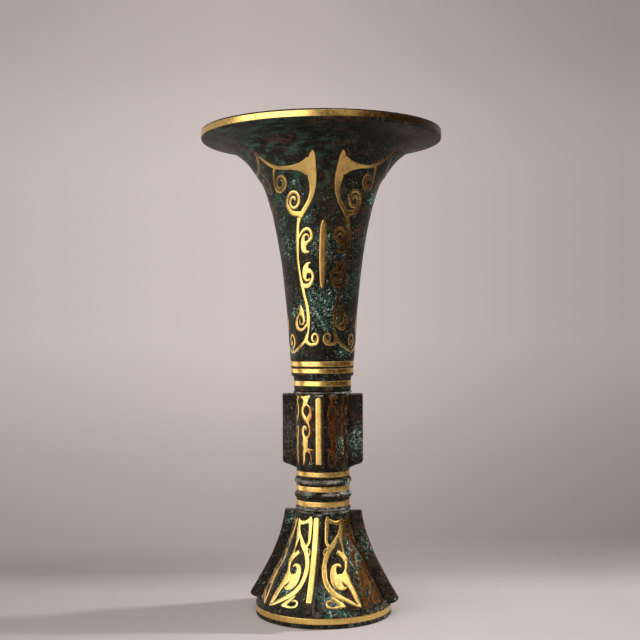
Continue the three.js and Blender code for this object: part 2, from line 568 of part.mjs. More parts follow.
// Spreading foot with four flanges, hollow underneath, on a plain ring with a gold band
function addFoot() {
  const grooveRadius = BASE_RING_RADIUS - GROOVE_DEPTH;
  const ringInside = BASE_RING_RADIUS - BASE_RING_WALL;
  const body = squared([
    [0, FOOT_TOP], ...footOutline, [grooveRadius, FOOT_BODY_BOTTOM - FIT], [0, FOOT_BODY_BOTTOM - FIT],
  ]);
  const base = turned([
    [0, GROOVE_ROOT], [grooveRadius - GROOVE_ROUND, GROOVE_ROOT],
    [grooveRadius, BASE_RING_TOP + GROOVE_ROUND],
    [BASE_RING_RADIUS, BASE_RING_TOP], [BASE_RING_RADIUS, 0], [0, 0],
  ]);
  const root = offset(footOutline, -FOOT_FLANGE_ROOT).slice(1, -1);
  const flange = upright([
    ...footFlangeFace, ...footFlangeEnd, ...root.reverse(),
    vec2([LOWER_SPIGOT_RADIUS + FLANGE_ROOT, footFlangeFace[0].y]),
  ], FLANGE_WIDTH);
  const flanges = Array.from({ length: FLANGES }, (_, i) => around(flange, FLANGES, i));
  const inside = offset(footOutline, -FOOT_WALL).filter((p) => p.y > BASE_RING_ROOM && p.y < FOOT_HOLLOW_TOP);
  const hollow = turned([
    [0, FOOT_HOLLOW_TOP], ...inside, [ringInside, BASE_RING_ROOM], [ringInside, -PAST], [0, -PAST],
  ]);
  const bore = turned([
    [0, FOOT_TOP + PAST], [LOWER_SPIGOT_RADIUS + FIT, FOOT_TOP + PAST],
    [LOWER_SPIGOT_RADIUS + FIT, FOOT_BORE_END], [0, FOOT_BORE_END],
  ], SMALL_STEPS);
  addStrips('foot', footFlangeFace, FOOT_STRIP, FOOT_TURN, footChannels);
  addPanels('foot_scroll', footScroll, footOutline, FOOT_TURN, FOOT_RIGHT);
  addPanels('foot_corner_scroll', cornerScroll, footOutline, FOOT_TURN, FOOT_RIGHT);
  addBand('foot_gold_band', FOOT_BAND, footChannels);
  const whole = setTurn(addAll([body, ...flanges]), FOOT_TURN).add(base);
  addPiece('spreading_foot', cutAll(whole, [hollow, bore, ...footChannels]), bronze);
}

function addSolder(name, inner, outer, bottom, top) {
  addPiece(name, ring(inner + FIT, outer, bottom + FIT, top - FIT), solder);
}

addNeck();
addKnop();
addFoot();
addSolder('upper_solder_ring', SPIGOT_RADIUS, UPPER_SOLDER_RADIUS, KNOP_TOP, NECK_BOTTOM);
addSolder('lower_solder_ring', LOWER_SPIGOT_RADIUS, LOWER_SOLDER_RADIUS, FOOT_TOP, KNOP_BOTTOM);

export default object;
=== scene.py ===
"""Bronze gu vase with gold scroll inlay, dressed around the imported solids.

Sizes of the vase are in millimetres, and every finished piece is scaled to metres in the solids' frame,
with +Z up, the foot on z = 0 and the photographed front towards -Y. Sizes of the studio are in metres.
"""

import logging
import math
from bisect import bisect_left
from collections.abc import Callable, Sequence
from dataclasses import dataclass
from enum import Enum

import bmesh
import bpy
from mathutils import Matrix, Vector, geometry, kdtree, noise


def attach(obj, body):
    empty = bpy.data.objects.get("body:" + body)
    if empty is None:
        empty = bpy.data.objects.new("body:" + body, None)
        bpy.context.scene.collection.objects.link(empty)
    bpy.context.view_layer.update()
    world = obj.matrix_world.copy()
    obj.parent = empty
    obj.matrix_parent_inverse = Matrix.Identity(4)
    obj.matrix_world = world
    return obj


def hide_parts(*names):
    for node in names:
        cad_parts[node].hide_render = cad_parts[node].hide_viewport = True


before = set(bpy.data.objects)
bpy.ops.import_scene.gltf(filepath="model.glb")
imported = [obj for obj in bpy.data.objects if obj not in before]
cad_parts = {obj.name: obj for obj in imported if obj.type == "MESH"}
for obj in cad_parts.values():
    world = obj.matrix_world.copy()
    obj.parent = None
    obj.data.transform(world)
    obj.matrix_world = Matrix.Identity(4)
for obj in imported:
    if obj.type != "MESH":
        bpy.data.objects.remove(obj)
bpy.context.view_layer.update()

log = logging.getLogger("gu_vase")

MM = 0.001
BODY = "root"
FULL_TURN = 2 * math.pi
QUARTER = math.pi / 2
# Angle of the ornament that the photograph shows
FRONT = 0.0

Row = tuple[float, float]
Station = tuple[float, float, float]
Place = tuple[float, float, float]
Spot = tuple[float, float, float, float, float]
Tint = tuple[str, Spot]
Stroke = Sequence[Station]
Stops = Sequence[tuple[float, str]]


class Slot(Enum):
    """The record's material slots."""

    BRONZE = "patinated_bronze"
    GOLD = "gold_inlay"
    SOLDER = "solder"


class Side(Enum):
    """Which half of a mirrored ornament a scroll belongs to."""

    LEFT = -1
    RIGHT = 1


# Curves

def blend_points(points: Sequence[tuple[float, ...]], t: float) -> tuple[float, ...]:
    """Point on the smooth curve through some points.

    Args:
        points: Points of any dimension that the curve passes through.
        t: Place along the curve, from 0 to 1.

    Returns:
        The point, with as many numbers as the given ones.
    """
    last = len(points) - 1
    place = min(max(t * last, 0.0), last - 1e-9)
    i = int(place)
    w = place - i
    b, c = points[i], points[i + 1]
    a = points[i - 1] if i > 0 else tuple(2 * p - q for p, q in zip(b, c))
    d = points[i + 2] if i + 2 <= last else tuple(2 * q - p for p, q in zip(b, c))
    return tuple(
        0.5 * (2 * q + (r - p) * w + (2 * p - 5 * q + 4 * r - s) * w * w + (3 * q - p - 3 * r + s) * w ** 3)
        for p, q, r, s in zip(a, b, c, d)
    )


def spaced(points: Sequence[tuple[float, ...]], step: float, tries: int = 24) -> list[tuple[float, ...]]:
    """Points at about equal distances along the smooth curve through some points.

    Args:
        points: Points that the curve passes through; the first two numbers are its plane.
        step: Wanted distance between neighbours, in millimetres.
        tries: Points measured for each given one.

    Returns:
        The resampled points, both ends included.
    """
    count = tries * len(points)
    fine = [blend_points(points, i / count) for i in range(count + 1)]
    travelled = [0.0]
    for p, q in zip(fine, fine[1:]):
        travelled.append(travelled[-1] + math.hypot(q[0] - p[0], q[1] - p[1]))
    count = max(2, round(travelled[-1] / step))
    result = []
    for k in range(count + 1):
        wanted = travelled[-1] * k / count
        i = min(max(bisect_left(travelled, wanted), 1), len(fine) - 1)
        span = travelled[i] - travelled[i - 1] or 1.0
        w = (wanted - travelled[i - 1]) / span
        result.append(tuple(p + w * (q - p) for p, q in zip(fine[i - 1], fine[i])))
    return result


def blend_rows(p: Row, q: Row, w: float) -> Row:
    """Point between two points."""
    return p[0] + (q[0] - p[0]) * w, p[1] + (q[1] - p[1]) * w


def straight(points: Sequence[Row], step: float) -> list[Row]:
    """Points at about equal distances along straight lines between some points, corners included."""
    result = [points[0]]
    for p, q in zip(points, points[1:]):
        count = max(1, round(math.dist(p, q) / step))
        result.extend(blend_rows(p, q, k / count) for k in range(1, count + 1))
    return result


def close_rows(corners: Sequence[Row], step: float) -> list[Row]:
    """Adds points along the straight sides of an outline so that no side is longer than a step."""
    return straight([*corners, corners[0]], step)[:-1]


def spiral(
    centre: Row, radii: Row, start: float, turns: float, halves: Row, tall: float = 1.0, ease: float = 1.0
) -> list[Station]:
    """Stations of a stroke that curls inwards, nine to a turn.

    Args:
        centre: Middle of the spiral, across and height.
        radii: Radius at the start and at the end.
        start: Angle of the first station, in degrees.
        turns: How many times it goes round; negative is clockwise.
        halves: Half the stroke's width at the start and at the end.
        tall: How much taller than wide the spiral is.
        ease: Below 1 the radius shrinks late, above 1 early.

    Returns:
        Stations from the outside to the inside.
    """
    count = max(5, round(abs(turns) * 9))
    stations = []
    for i in range(count + 1):
        t = i / count
        radius = radii[1] + (radii[0] - radii[1]) * (1 - t) ** ease
        angle = math.radians(start) + FULL_TURN * turns * t
        half = halves[0] + (halves[1] - halves[0]) * t
        across, rise = radius * math.cos(angle), radius * tall * math.sin(angle)
        stations.append((centre[0] + across, centre[1] + rise, half))
    return stations


def offset(rows: Sequence[Row], distance: float) -> list[Row]:
    """Line beside a line of radius and height.

    Args:
        rows: The line, from the top down.
        distance: How far out the new line lies; negative is inwards.

    Returns:
        The new line, point by point.
    """
    result = []
    for i, (r, z) in enumerate(rows):
        (r0, z0), (r1, z1) = rows[max(i - 1, 0)], rows[min(i + 1, len(rows) - 1)]
        length = math.hypot(r1 - r0, z1 - z0)
        result.append((r - (z1 - z0) / length * distance, z + (r1 - r0) / length * distance))
    return result


def upright(radius: float, middle: float, height: float) -> list[Row]:
    """Straight face of a band, from the top down."""
    return [(radius, middle + height / 2), (radius, middle - height / 2)]


# Surfaces

@dataclass(frozen=True)
class Turn:
    """How far an ornament is turned about the axis, and how it leans with height."""

    height: float
    degrees: float
    lean: float = 0.0

    def at(self, z: float) -> float:
        """Angle in radians at a height."""
        return math.radians(self.degrees + self.lean * (z - self.height))


@dataclass(frozen=True)
class HandShift:
    """How the right half of the front ornament differs from the mirrored left half, as both were cut by hand.

    Attributes:
        spread: Factor on the distance from the middle.
        lift: Rise per millimetre of that distance.
    """

    spread: float = 1.0
    lift: float = 0.0


def squareness(angle: float, flatness: float) -> float:
    """Factor on the radius of a rounded square: 1 on the arrises, less at the middle of each side."""
    if not flatness:
        return 1.0
    off = angle - round(angle / QUARTER) * QUARTER
    return (math.cos(flatness * QUARTER / 2) / math.cos(flatness * off)) ** (1 / flatness)


class Surface:
    """Outer face of a casting, on which gold is laid."""

    def __init__(
        self, outline: Sequence[Row], turn: Turn, flatness: float = 0.0, right: HandShift = HandShift()
    ) -> None:
        """Keeps a closely spaced outline.

        Args:
            outline: Radius and height of control points, from the top down.
            turn: Turn of the ornament on this casting.
            flatness: How square the section is; 0 is round.
            right: How the right half of the front ornament differs from the left one.
        """
        self.rows = spaced(outline, 0.5)
        self.turn = turn
        self.flatness = flatness
        self.right = right
        self._depths = [-z for _, z in self.rows]

    def face(self, z: float) -> tuple[float, float]:
        """Radius and slope of the outline at a height."""
        i = min(max(bisect_left(self._depths, -z), 1), len(self.rows) - 1)
        (r0, z0), (r1, z1) = self.rows[i - 1], self.rows[i]
        low = self.rows[min(i + 2, len(self.rows) - 1)]
        high = self.rows[max(i - 3, 0)]
        w = (z - z0) / (z1 - z0)
        return r0 + w * (r1 - r0), (high[0] - low[0]) / (high[1] - low[1])

    def lay(self, across: float, z: float, height: float, unit: float, side: Side) -> Vector:
        """Puts a flat point on the casting.

        Args:
            across: Distance round the casting from the middle of the ornament.
            z: Height on the casting.
            height: Distance off the face, along its normal.
            unit: Angle of the ornament's middle, in radians.
            side: Which way the distance is measured.

        Returns:
            The point in millimetres.
        """
        if side is Side.RIGHT and unit == FRONT:
            z += across * self.right.lift
            across *= self.right.spread
        radius, slope = self.face(z)
        turned = side.value * across / radius
        steep = math.hypot(1.0, slope)
        reach = radius * squareness(turned, self.flatness) + height / steep
        angle = unit + self.turn.at(z) + turned
        point = Vector((reach * math.sin(angle), -reach * math.cos(angle), z - height * slope / steep))
        return point + radial(point) * unevenness(point)


def radial(point: Vector) -> Vector:
    """Unit vector from the axis to a point, level with it."""
    flat = Vector((point.x, point.y, 0.0))
    return flat.normalized() if flat.length > 1e-6 else Vector((0.0, 0.0, 0.0))


def unevenness(point: Vector) -> float:
    """How far the casting stands off its true shape: dents about 26 mm long and ripples about 9 mm long."""
    dents = 0.16 * noise.noise(point / 26.0)
    ripples = 0.06 * noise.noise(point / 9.0 + Vector((7.0, 3.0, 1.0)))
    return dents + ripples


def crust(point: Vector) -> float:
    """Height of the mineral crust on the bronze: grains of 1 to 3 mm in patches of 13 mm."""
    grains = noise.fractal(point / 2.6, 0.9, 2.2, 3)
    patch = 0.5 + 0.5 * noise.noise(point / 13.0 + Vector((2.0, 9.0, 4.0)))
    return 0.085 * grains * (0.35 + patch)


# Meshes

def new_piece(bm: bmesh.types.BMesh, name: str, smooth_angle: float = 35.0) -> bpy.types.Object:
    """Turns a mesh in millimetres into a finished object in metres.

    Args:
        bm: The mesh; it is freed.
        name: Name of the piece.
        smooth_angle: Edges that turn more than this, in degrees, stay crisp.

    Returns:
        The new object, at the origin.
    """
    bmesh.ops.scale(bm, vec=(MM, MM, MM), verts=bm.verts)
    limit = math.radians(smooth_angle)
    for face in bm.faces:
        face.smooth = True
    for edge in bm.edges:
        edge.smooth = edge.smooth and edge.calc_face_angle(0.0) < limit
    return link_mesh(bm, name)


def link_mesh(bm: bmesh.types.BMesh, name: str) -> bpy.types.Object:
    """Puts a mesh into the scene as an object at the origin, and frees it."""
    mesh = bpy.data.meshes.new(name)
    bm.to_mesh(mesh)
    bm.free()
    piece = bpy.data.objects.new(name, mesh)
    bpy.context.scene.collection.objects.link(piece)
    return piece


def declare(piece: bpy.types.Object, material: bpy.types.Material, slot: Slot, *nodes: str) -> None:
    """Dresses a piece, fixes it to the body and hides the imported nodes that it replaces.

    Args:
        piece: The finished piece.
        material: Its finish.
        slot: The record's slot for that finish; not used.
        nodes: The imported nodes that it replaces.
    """
    piece.data.materials.append(material)
    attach(piece, BODY)
    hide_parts(*nodes)
    log.info("%s: %d faces", piece.name, len(piece.data.polygons))


def spun(rows: Sequence[Row], steps: int) -> bmesh.types.BMesh:
    """Spins a closed outline of radius and height once round the axis.

    Args:
        rows: The outline's points, in order.
        steps: How many faces go round.

    Returns:
        A closed mesh with its faces outwards.
    """
    bm = bmesh.new()
    verts = [bm.verts.new((r, 0.0, z)) for r, z in rows]
    edges = [bm.edges.new((a, b)) for a, b in zip(verts, verts[1:] + verts[:1])]
    bmesh.ops.spin(
        bm, geom=verts + edges, cent=(0, 0, 0), axis=(0, 0, 1), dvec=(0, 0, 0), angle=FULL_TURN,
        steps=steps, use_merge=True, use_duplicate=False,
    )
    bmesh.ops.remove_doubles(bm, verts=bm.verts, dist=1e-4)
    bmesh.ops.recalc_face_normals(bm, faces=bm.faces)
    return bm


def reshape(bm: bmesh.types.BMesh, move: Callable[[Vector], Vector]) -> None:
    """Moves every vertex of a mesh by a rule."""
    for vert in bm.verts:
        vert.co = move(vert.co)


def new_verts(made: Sequence[object]) -> list[bmesh.types.BMVert]:
    """The vertices among the elements that an operator made."""
    return [element for element in made if isinstance(element, bmesh.types.BMVert)]


def join(parts: Sequence[bmesh.types.BMesh]) -> bmesh.types.BMesh:
    """Puts several meshes into one and frees them."""
    whole = bmesh.new()
    for part in parts:
        mesh = bpy.data.meshes.new("part")
        part.to_mesh(mesh)
        part.free()
        whole.from_mesh(mesh)
        bpy.data.meshes.remove(mesh)
    return whole


def weather(bm: bmesh.types.BMesh, inside: Callable[[Vector], bool]) -> None:
    """Gives a casting its unevenness and, on the faces that show, its crust.

    Args:
        bm: The casting.
        inside: Tells the vertices of hidden walls, which stay plain.
    """
    bm.normal_update()
    moves = []
    for vert in bm.verts:
        shift = radial(vert.co) * unevenness(vert.co)
        if not inside(vert.co):
            shift = shift + vert.normal * crust(vert.co)
        moves.append(shift)
    for vert, shift in zip(bm.verts, moves):
        vert.co += shift


def stroke_edges(
    stroke: Stroke, step: float, thinnest: float = 0.05, hammered: float = 0.07, inset: float = 0.16
) -> tuple[list[Row], list[Row]]:
    """Outline of a stroke and the points inside it that help to round its face.

    Args:
        stroke: Stations of across, height and half width.
        step: Distance between neighbours on the outline.
        thinnest: Least half width at a pointed end.
        hammered: How far the hammer spread the gold past its channel, on each side.
        inset: Distance of the outer lines of inner points from the edge.

    Returns:
        The closed outline, anticlockwise, and the inner points.
    """
    line = spaced(stroke, step)
    left: list[Row] = []
    right: list[Row] = []
    inner: list[Row] = []
    for i, (u, z, half) in enumerate(line):
        before, after = line[max(i - 1, 0)], line[min(i + 1, len(line) - 1)]
        du, dz = after[0] - before[0], after[1] - before[1]
        length = math.hypot(du, dz) or 1.0
        side = (-dz / length, du / length)
        half = max(half, thinnest) + hammered
        left.append((u + side[0] * half, z + side[1] * half))
        right.append((u - side[0] * half, z - side[1] * half))
        if 0 < i < len(line) - 1 and half > 0.3:
            lines = [half - inset, -half + inset] + ([0.0] if half > 0.55 else [])
            lines += [half * 0.5, -half * 0.5] if half > 1.2 else []
            inner.extend((u + side[0] * off, z + side[1] * off) for off in lines)
    return right + left[::-1], inner


def flat_inlay(strokes: Sequence[Stroke], step: float = 0.5, probes: int = 3) -> bmesh.types.BMesh:
    """Merges strokes into one flat sheet.

    Args:
        strokes: The strokes, which may cross.
        step: Distance between neighbours on an outline.
        probes: Points of each border edge from which distances are measured.

    Returns:
        A mesh in the plane of across and height, with one vertex layer that holds each vertex's
        distance from the sheet's border.
    """
    points: list[Vector] = []
    faces: list[list[int]] = []
    loose: list[Row] = []
    for stroke in strokes:
        outline, inner = stroke_edges(stroke, step)
        faces.append(list(range(len(points), len(points) + len(outline))))
        points.extend(Vector(p) for p in outline)
        loose.extend(inner)
    points.extend(Vector(p) for p in loose)
    verts, _, triangles, _, _, sources = geometry.delaunay_2d_cdt(points, [], faces, 0, 1e-3, True)
    bm = bmesh.new()
    made = [bm.verts.new((p.x, p.y, 0.0)) for p in verts]
    for triangle, source in zip(triangles, sources):
        if source:
            bm.faces.new([made[i] for i in triangle])
    bmesh.ops.delete(bm, geom=[v for v in bm.verts if not v.link_faces], context="VERTS")
    bmesh.ops.remove_doubles(bm, verts=bm.verts, dist=0.02)
    bmesh.ops.recalc_face_normals(bm, faces=bm.faces)
    border = [e for e in bm.edges if len(e.link_faces) == 1]
    tree = kdtree.KDTree(probes * len(border))
    for i, edge in enumerate(border):
        a, b = edge.verts[0].co, edge.verts[1].co
        for k in range(probes):
            tree.insert(a.lerp(b, k / probes), probes * i + k)
    tree.balance()
    # Distance from the border, by which the gold's finish lays stain and painted channel shadow along it
    layer = bm.verts.layers.float.new("from_edge")
    on_border = {v for e in border for v in e.verts}
    for vert in bm.verts:
        vert[layer] = 0.0 if vert in on_border else tree.find(vert.co)[2]
    return bm


@dataclass(frozen=True)
class Inlay:
    """How sheet gold is set into the bronze.

    Attributes:
        proud: How far its face stands off the bronze.
        depth: How far its walls go in.
        round_over: Width of the rounded border.
        drop: How far the border falls.
    """

    proud: float = 0.13
    depth: float = 0.5
    round_over: float = 0.24
    drop: float = 0.1

    def build(
        self, strokes: Sequence[Stroke], place: Callable[[float, float, float], Vector]
    ) -> bmesh.types.BMesh:
        """Makes one motif, its face rounded over at the border, with walls that go into the bronze.

        Args:
            strokes: The motif's strokes.
            place: Puts a point of across, height and distance off the ground on the casting.

        Returns:
            A closed mesh in millimetres.
        """
        bm = flat_inlay(strokes)
        layer = bm.verts.layers.float["from_edge"]
        bottom = set(new_verts(bmesh.ops.extrude_face_region(bm, geom=bm.faces[:])["geom"]))
        for vert in bm.verts:
            inward = min(vert[layer] / self.round_over, 1.0)
            height = -self.depth if vert in bottom else self.proud - self.drop * (1.0 - inward) ** 2
            vert.co = place(vert.co.x, vert.co.y, height)
        bmesh.ops.recalc_face_normals(bm, faces=bm.faces)
        return bm

    def scroll(
        self, strokes: Sequence[Stroke], surface: Surface, unit: float, side: Side
    ) -> bmesh.types.BMesh:
        """Makes one motif on a casting's outer face.

        Args:
            strokes: The motif's strokes.
            surface: The casting it is laid on.
            unit: Angle of the ornament's middle, in radians.
            side: Which half of the ornament this is.

        Returns:
            A closed mesh in millimetres.
        """
        return self.build(strokes, lambda across, z, height: surface.lay(across, z, height, unit, side))

    def strip(self, face: Sequence[Row], width: float, unit: float, turn: Turn) -> bmesh.types.BMesh:
        """Makes a strip let into the outer face of a flange, its upper end rounded.

        Args:
            face: Radius and height along the flange's face, from the top down.
            width: Width of the strip.
            unit: Angle of the flange.
            turn: Turn of the flange.

        Returns:
            A closed mesh in millimetres.
        """
        length = face[0][1] - face[-1][1]
        half = width / 2
        count = round(length / 0.4)
        stations = []
        for k in range(count + 1):
            down = length * k / count
            arch = min(down / half, 1.0)
            stations.append((0.0, face[0][1] - down, half * math.sqrt(max(0.0, 1.0 - (1.0 - arch) ** 2))))
        surface = Surface(face, turn)

        def place(across: float, z: float, height: float) -> Vector:
            """Puts a flat point on the flange."""
            radius, slope = surface.face(z)
            steep = math.hypot(1.0, slope)
            level = z - height * slope / steep
            angle = unit + turn.at(level)
            outward = Vector((math.sin(angle), -math.cos(angle), 0.0))
            along = Vector((math.cos(angle), math.sin(angle), 0.0))
            point = outward * (radius + height / steep) + along * across + Vector((0.0, 0.0, level))
            return point + outward * unevenness(point)

        return self.build([stations], place)


@dataclass(frozen=True)
class Band:
    """A hammered gold ring, let into a groove.

    Attributes:
        face: Radius and height along the casting's face under the band, from the top down.
        steps: Faces round it.
        proud: How far it stands off that face.
        depth: How far it goes in.
        soft: Size of its worn edges.
        gap: Play between it and its groove.
    """

    face: Sequence[Row]
    steps: int = 128
    proud: float = 0.12
    depth: float = 0.6
    soft: float = 0.22
    gap: float = 0.08

    def groove(self) -> list[Row]:
        """Rows of the channel that holds the band, from the top down."""
        face = straight(self.face, 0.5)
        (r0, z0), (r1, z1) = face[0], face[-1]
        floor = offset(face, -self.depth - self.gap)
        return [(r0, z0 + self.gap), (floor[0][0], floor[0][1] + self.gap), *floor[1:-1],
                (floor[-1][0], floor[-1][1] - self.gap), (r1, z1 - self.gap)]

    def build(self) -> bmesh.types.BMesh:
        """Makes the ring, dented a little by the hammer, in millimetres."""
        face = straight(self.face, 0.5)
        outer = offset(face, self.proud)
        low = offset(face, self.proud - self.soft * 0.6)
        inner = offset(face, -self.depth)
        top = blend_rows(outer[0], outer[1], self.soft / math.dist(outer[0], outer[1]))
        foot = blend_rows(outer[-1], outer[-2], self.soft / math.dist(outer[-1], outer[-2]))
        bm = spun([low[0], top, *outer[1:-1], foot, low[-1], *inner[::-1]], self.steps)
        reshape(bm, lambda p: p + radial(p) * (unevenness(p) + 0.035 * noise.noise(p / 2.4)))
        # Distance from the band's edges, by which the gold's finish lays stain and painted channel shadow along
        # them
        layer = bm.verts.layers.float.new("from_edge")
        for vert in bm.verts:
            place = (math.hypot(vert.co.x, vert.co.y), vert.co.z)
            vert[layer] = max(0.0, min(math.dist(place, face[0]), math.dist(place, face[-1])) - 0.1)
        return bm


# Finishes

def linear(code: str) -> tuple[float, float, float, float]:
    """Linear colour of an sRGB hex code."""
    values = [int(code[i:i + 2], 16) / 255 for i in (1, 3, 5)]
    return (*[v / 12.92 if v <= 0.04045 else ((v + 0.055) / 1.055) ** 2.4 for v in values], 1.0)


Socket = bpy.types.NodeSocket
Term = Socket | float | str | Place


class Nodes:
    """The nodes of a material or of the world."""

    def __init__(self, owner: bpy.types.Material | bpy.types.World) -> None:
        """Empties the owner's node tree."""
        owner.use_nodes = True
        self.tree = owner.node_tree
        self.tree.nodes.clear()

    def add(
        self, kind: str, *terms: Term, named: dict[str, Term] | None = None, stops: Stops = (),
        output: str = "", **settings: object,
    ) -> Socket | None:
        """Adds a node with its settings and links.

        Args:
            kind: The node's type, without the prefix that all shader nodes have.
            terms: What goes into the inputs that the settings leave in use, in order: a socket, a
                number, a position in metres or an sRGB hex colour.
            named: The same, for inputs by their names.
            stops: Place and sRGB hex colour of each stop, where the node is a colour ramp.
            output: The wanted output, where it isn't the first one in use.
            settings: The node's own properties.

        Returns:
            The wanted output, or None where the node has none.
        """
        node = self.tree.nodes.new("ShaderNode" + kind)
        for name, value in settings.items():
            setattr(node, name, value)
        pairs = list(zip([socket for socket in node.inputs if socket.enabled], terms))
        pairs += [(node.inputs[name], term) for name, term in (named or {}).items()]
        for socket, term in pairs:
            if isinstance(term, Socket):
                self.tree.links.new(term, socket)
            else:
                socket.default_value = linear(term) if isinstance(term, str) else term
        if stops:
            elements = node.color_ramp.elements
            while len(elements) < len(stops):
                elements.new(0.5)
            for element, (place, code) in zip(elements, stops):
                element.position = place
                element.color = linear(code)
        if output:
            return node.outputs[output]
        return next((socket for socket in node.outputs if socket.enabled), None)


def new_material(name: str) -> tuple[bpy.types.Material, Nodes]:
    """An empty material and its nodes."""
    material = bpy.data.materials.new(name)
    return material, Nodes(material)


def grain(size: float) -> float:
    """Noise scale that gives lumps of a size in millimetres."""
    return 1 / (size * MM)


def near_spots(nodes: Nodes, place: Socket, start: Socket | float, spots: Sequence[Spot]) -> Socket | float:
    """Mask that rises near some spots.

    Args:
        nodes: The material's nodes.
        place: Position in metres.
        start: Mask or value that the spots are added to.
        spots: Position, reach in millimetres and strength of each.

    Returns:
        The greatest of the start and the spots.
    """
    mask = start
    for x, y, z, reach, strength in spots:
        away = nodes.add("VectorMath", place, (x * MM, y * MM, z * MM), operation="DISTANCE")
        near = nodes.add("MapRange", away, reach * MM, 0.3 * reach * MM, 0.0, strength)
        mask = nodes.add("Math", mask, near, operation="MAXIMUM")
    return mask


TENORITE_SKIN: Stops = [
    (0.36, "#050504"), (0.44, "#17120c"), (0.49, "#080a08"), (0.54, "#271c13"), (0.6, "#452d1c"),
    (0.68, "#65452e"),
]
MALACHITE: Stops = [(0.34, "#1c4d42"), (0.43, "#3d7c6a"), (0.52, "#86b8a8"), (0.61, "#dbe8e2")]
HIGH_CARAT_GOLD: Stops = [(0.3, "#e6b865"), (0.5, "#f2cf7c"), (0.7, "#ecc470")]
CHALK: Stops = [(0.35, "#4b463c"), (0.52, "#8e897c"), (0.68, "#c9c4b8")]
MALACHITE_FILM = "#1b4037"
GREEN_STREAK = "#35584a"
LIME = "#a9a293"
PALE_LINE_COLOUR = "#c2bcb3"
STAIN_AND_EDGE_SHADOW = "#2e1c0f"
DULL_SOLDER = "#3a3a30"


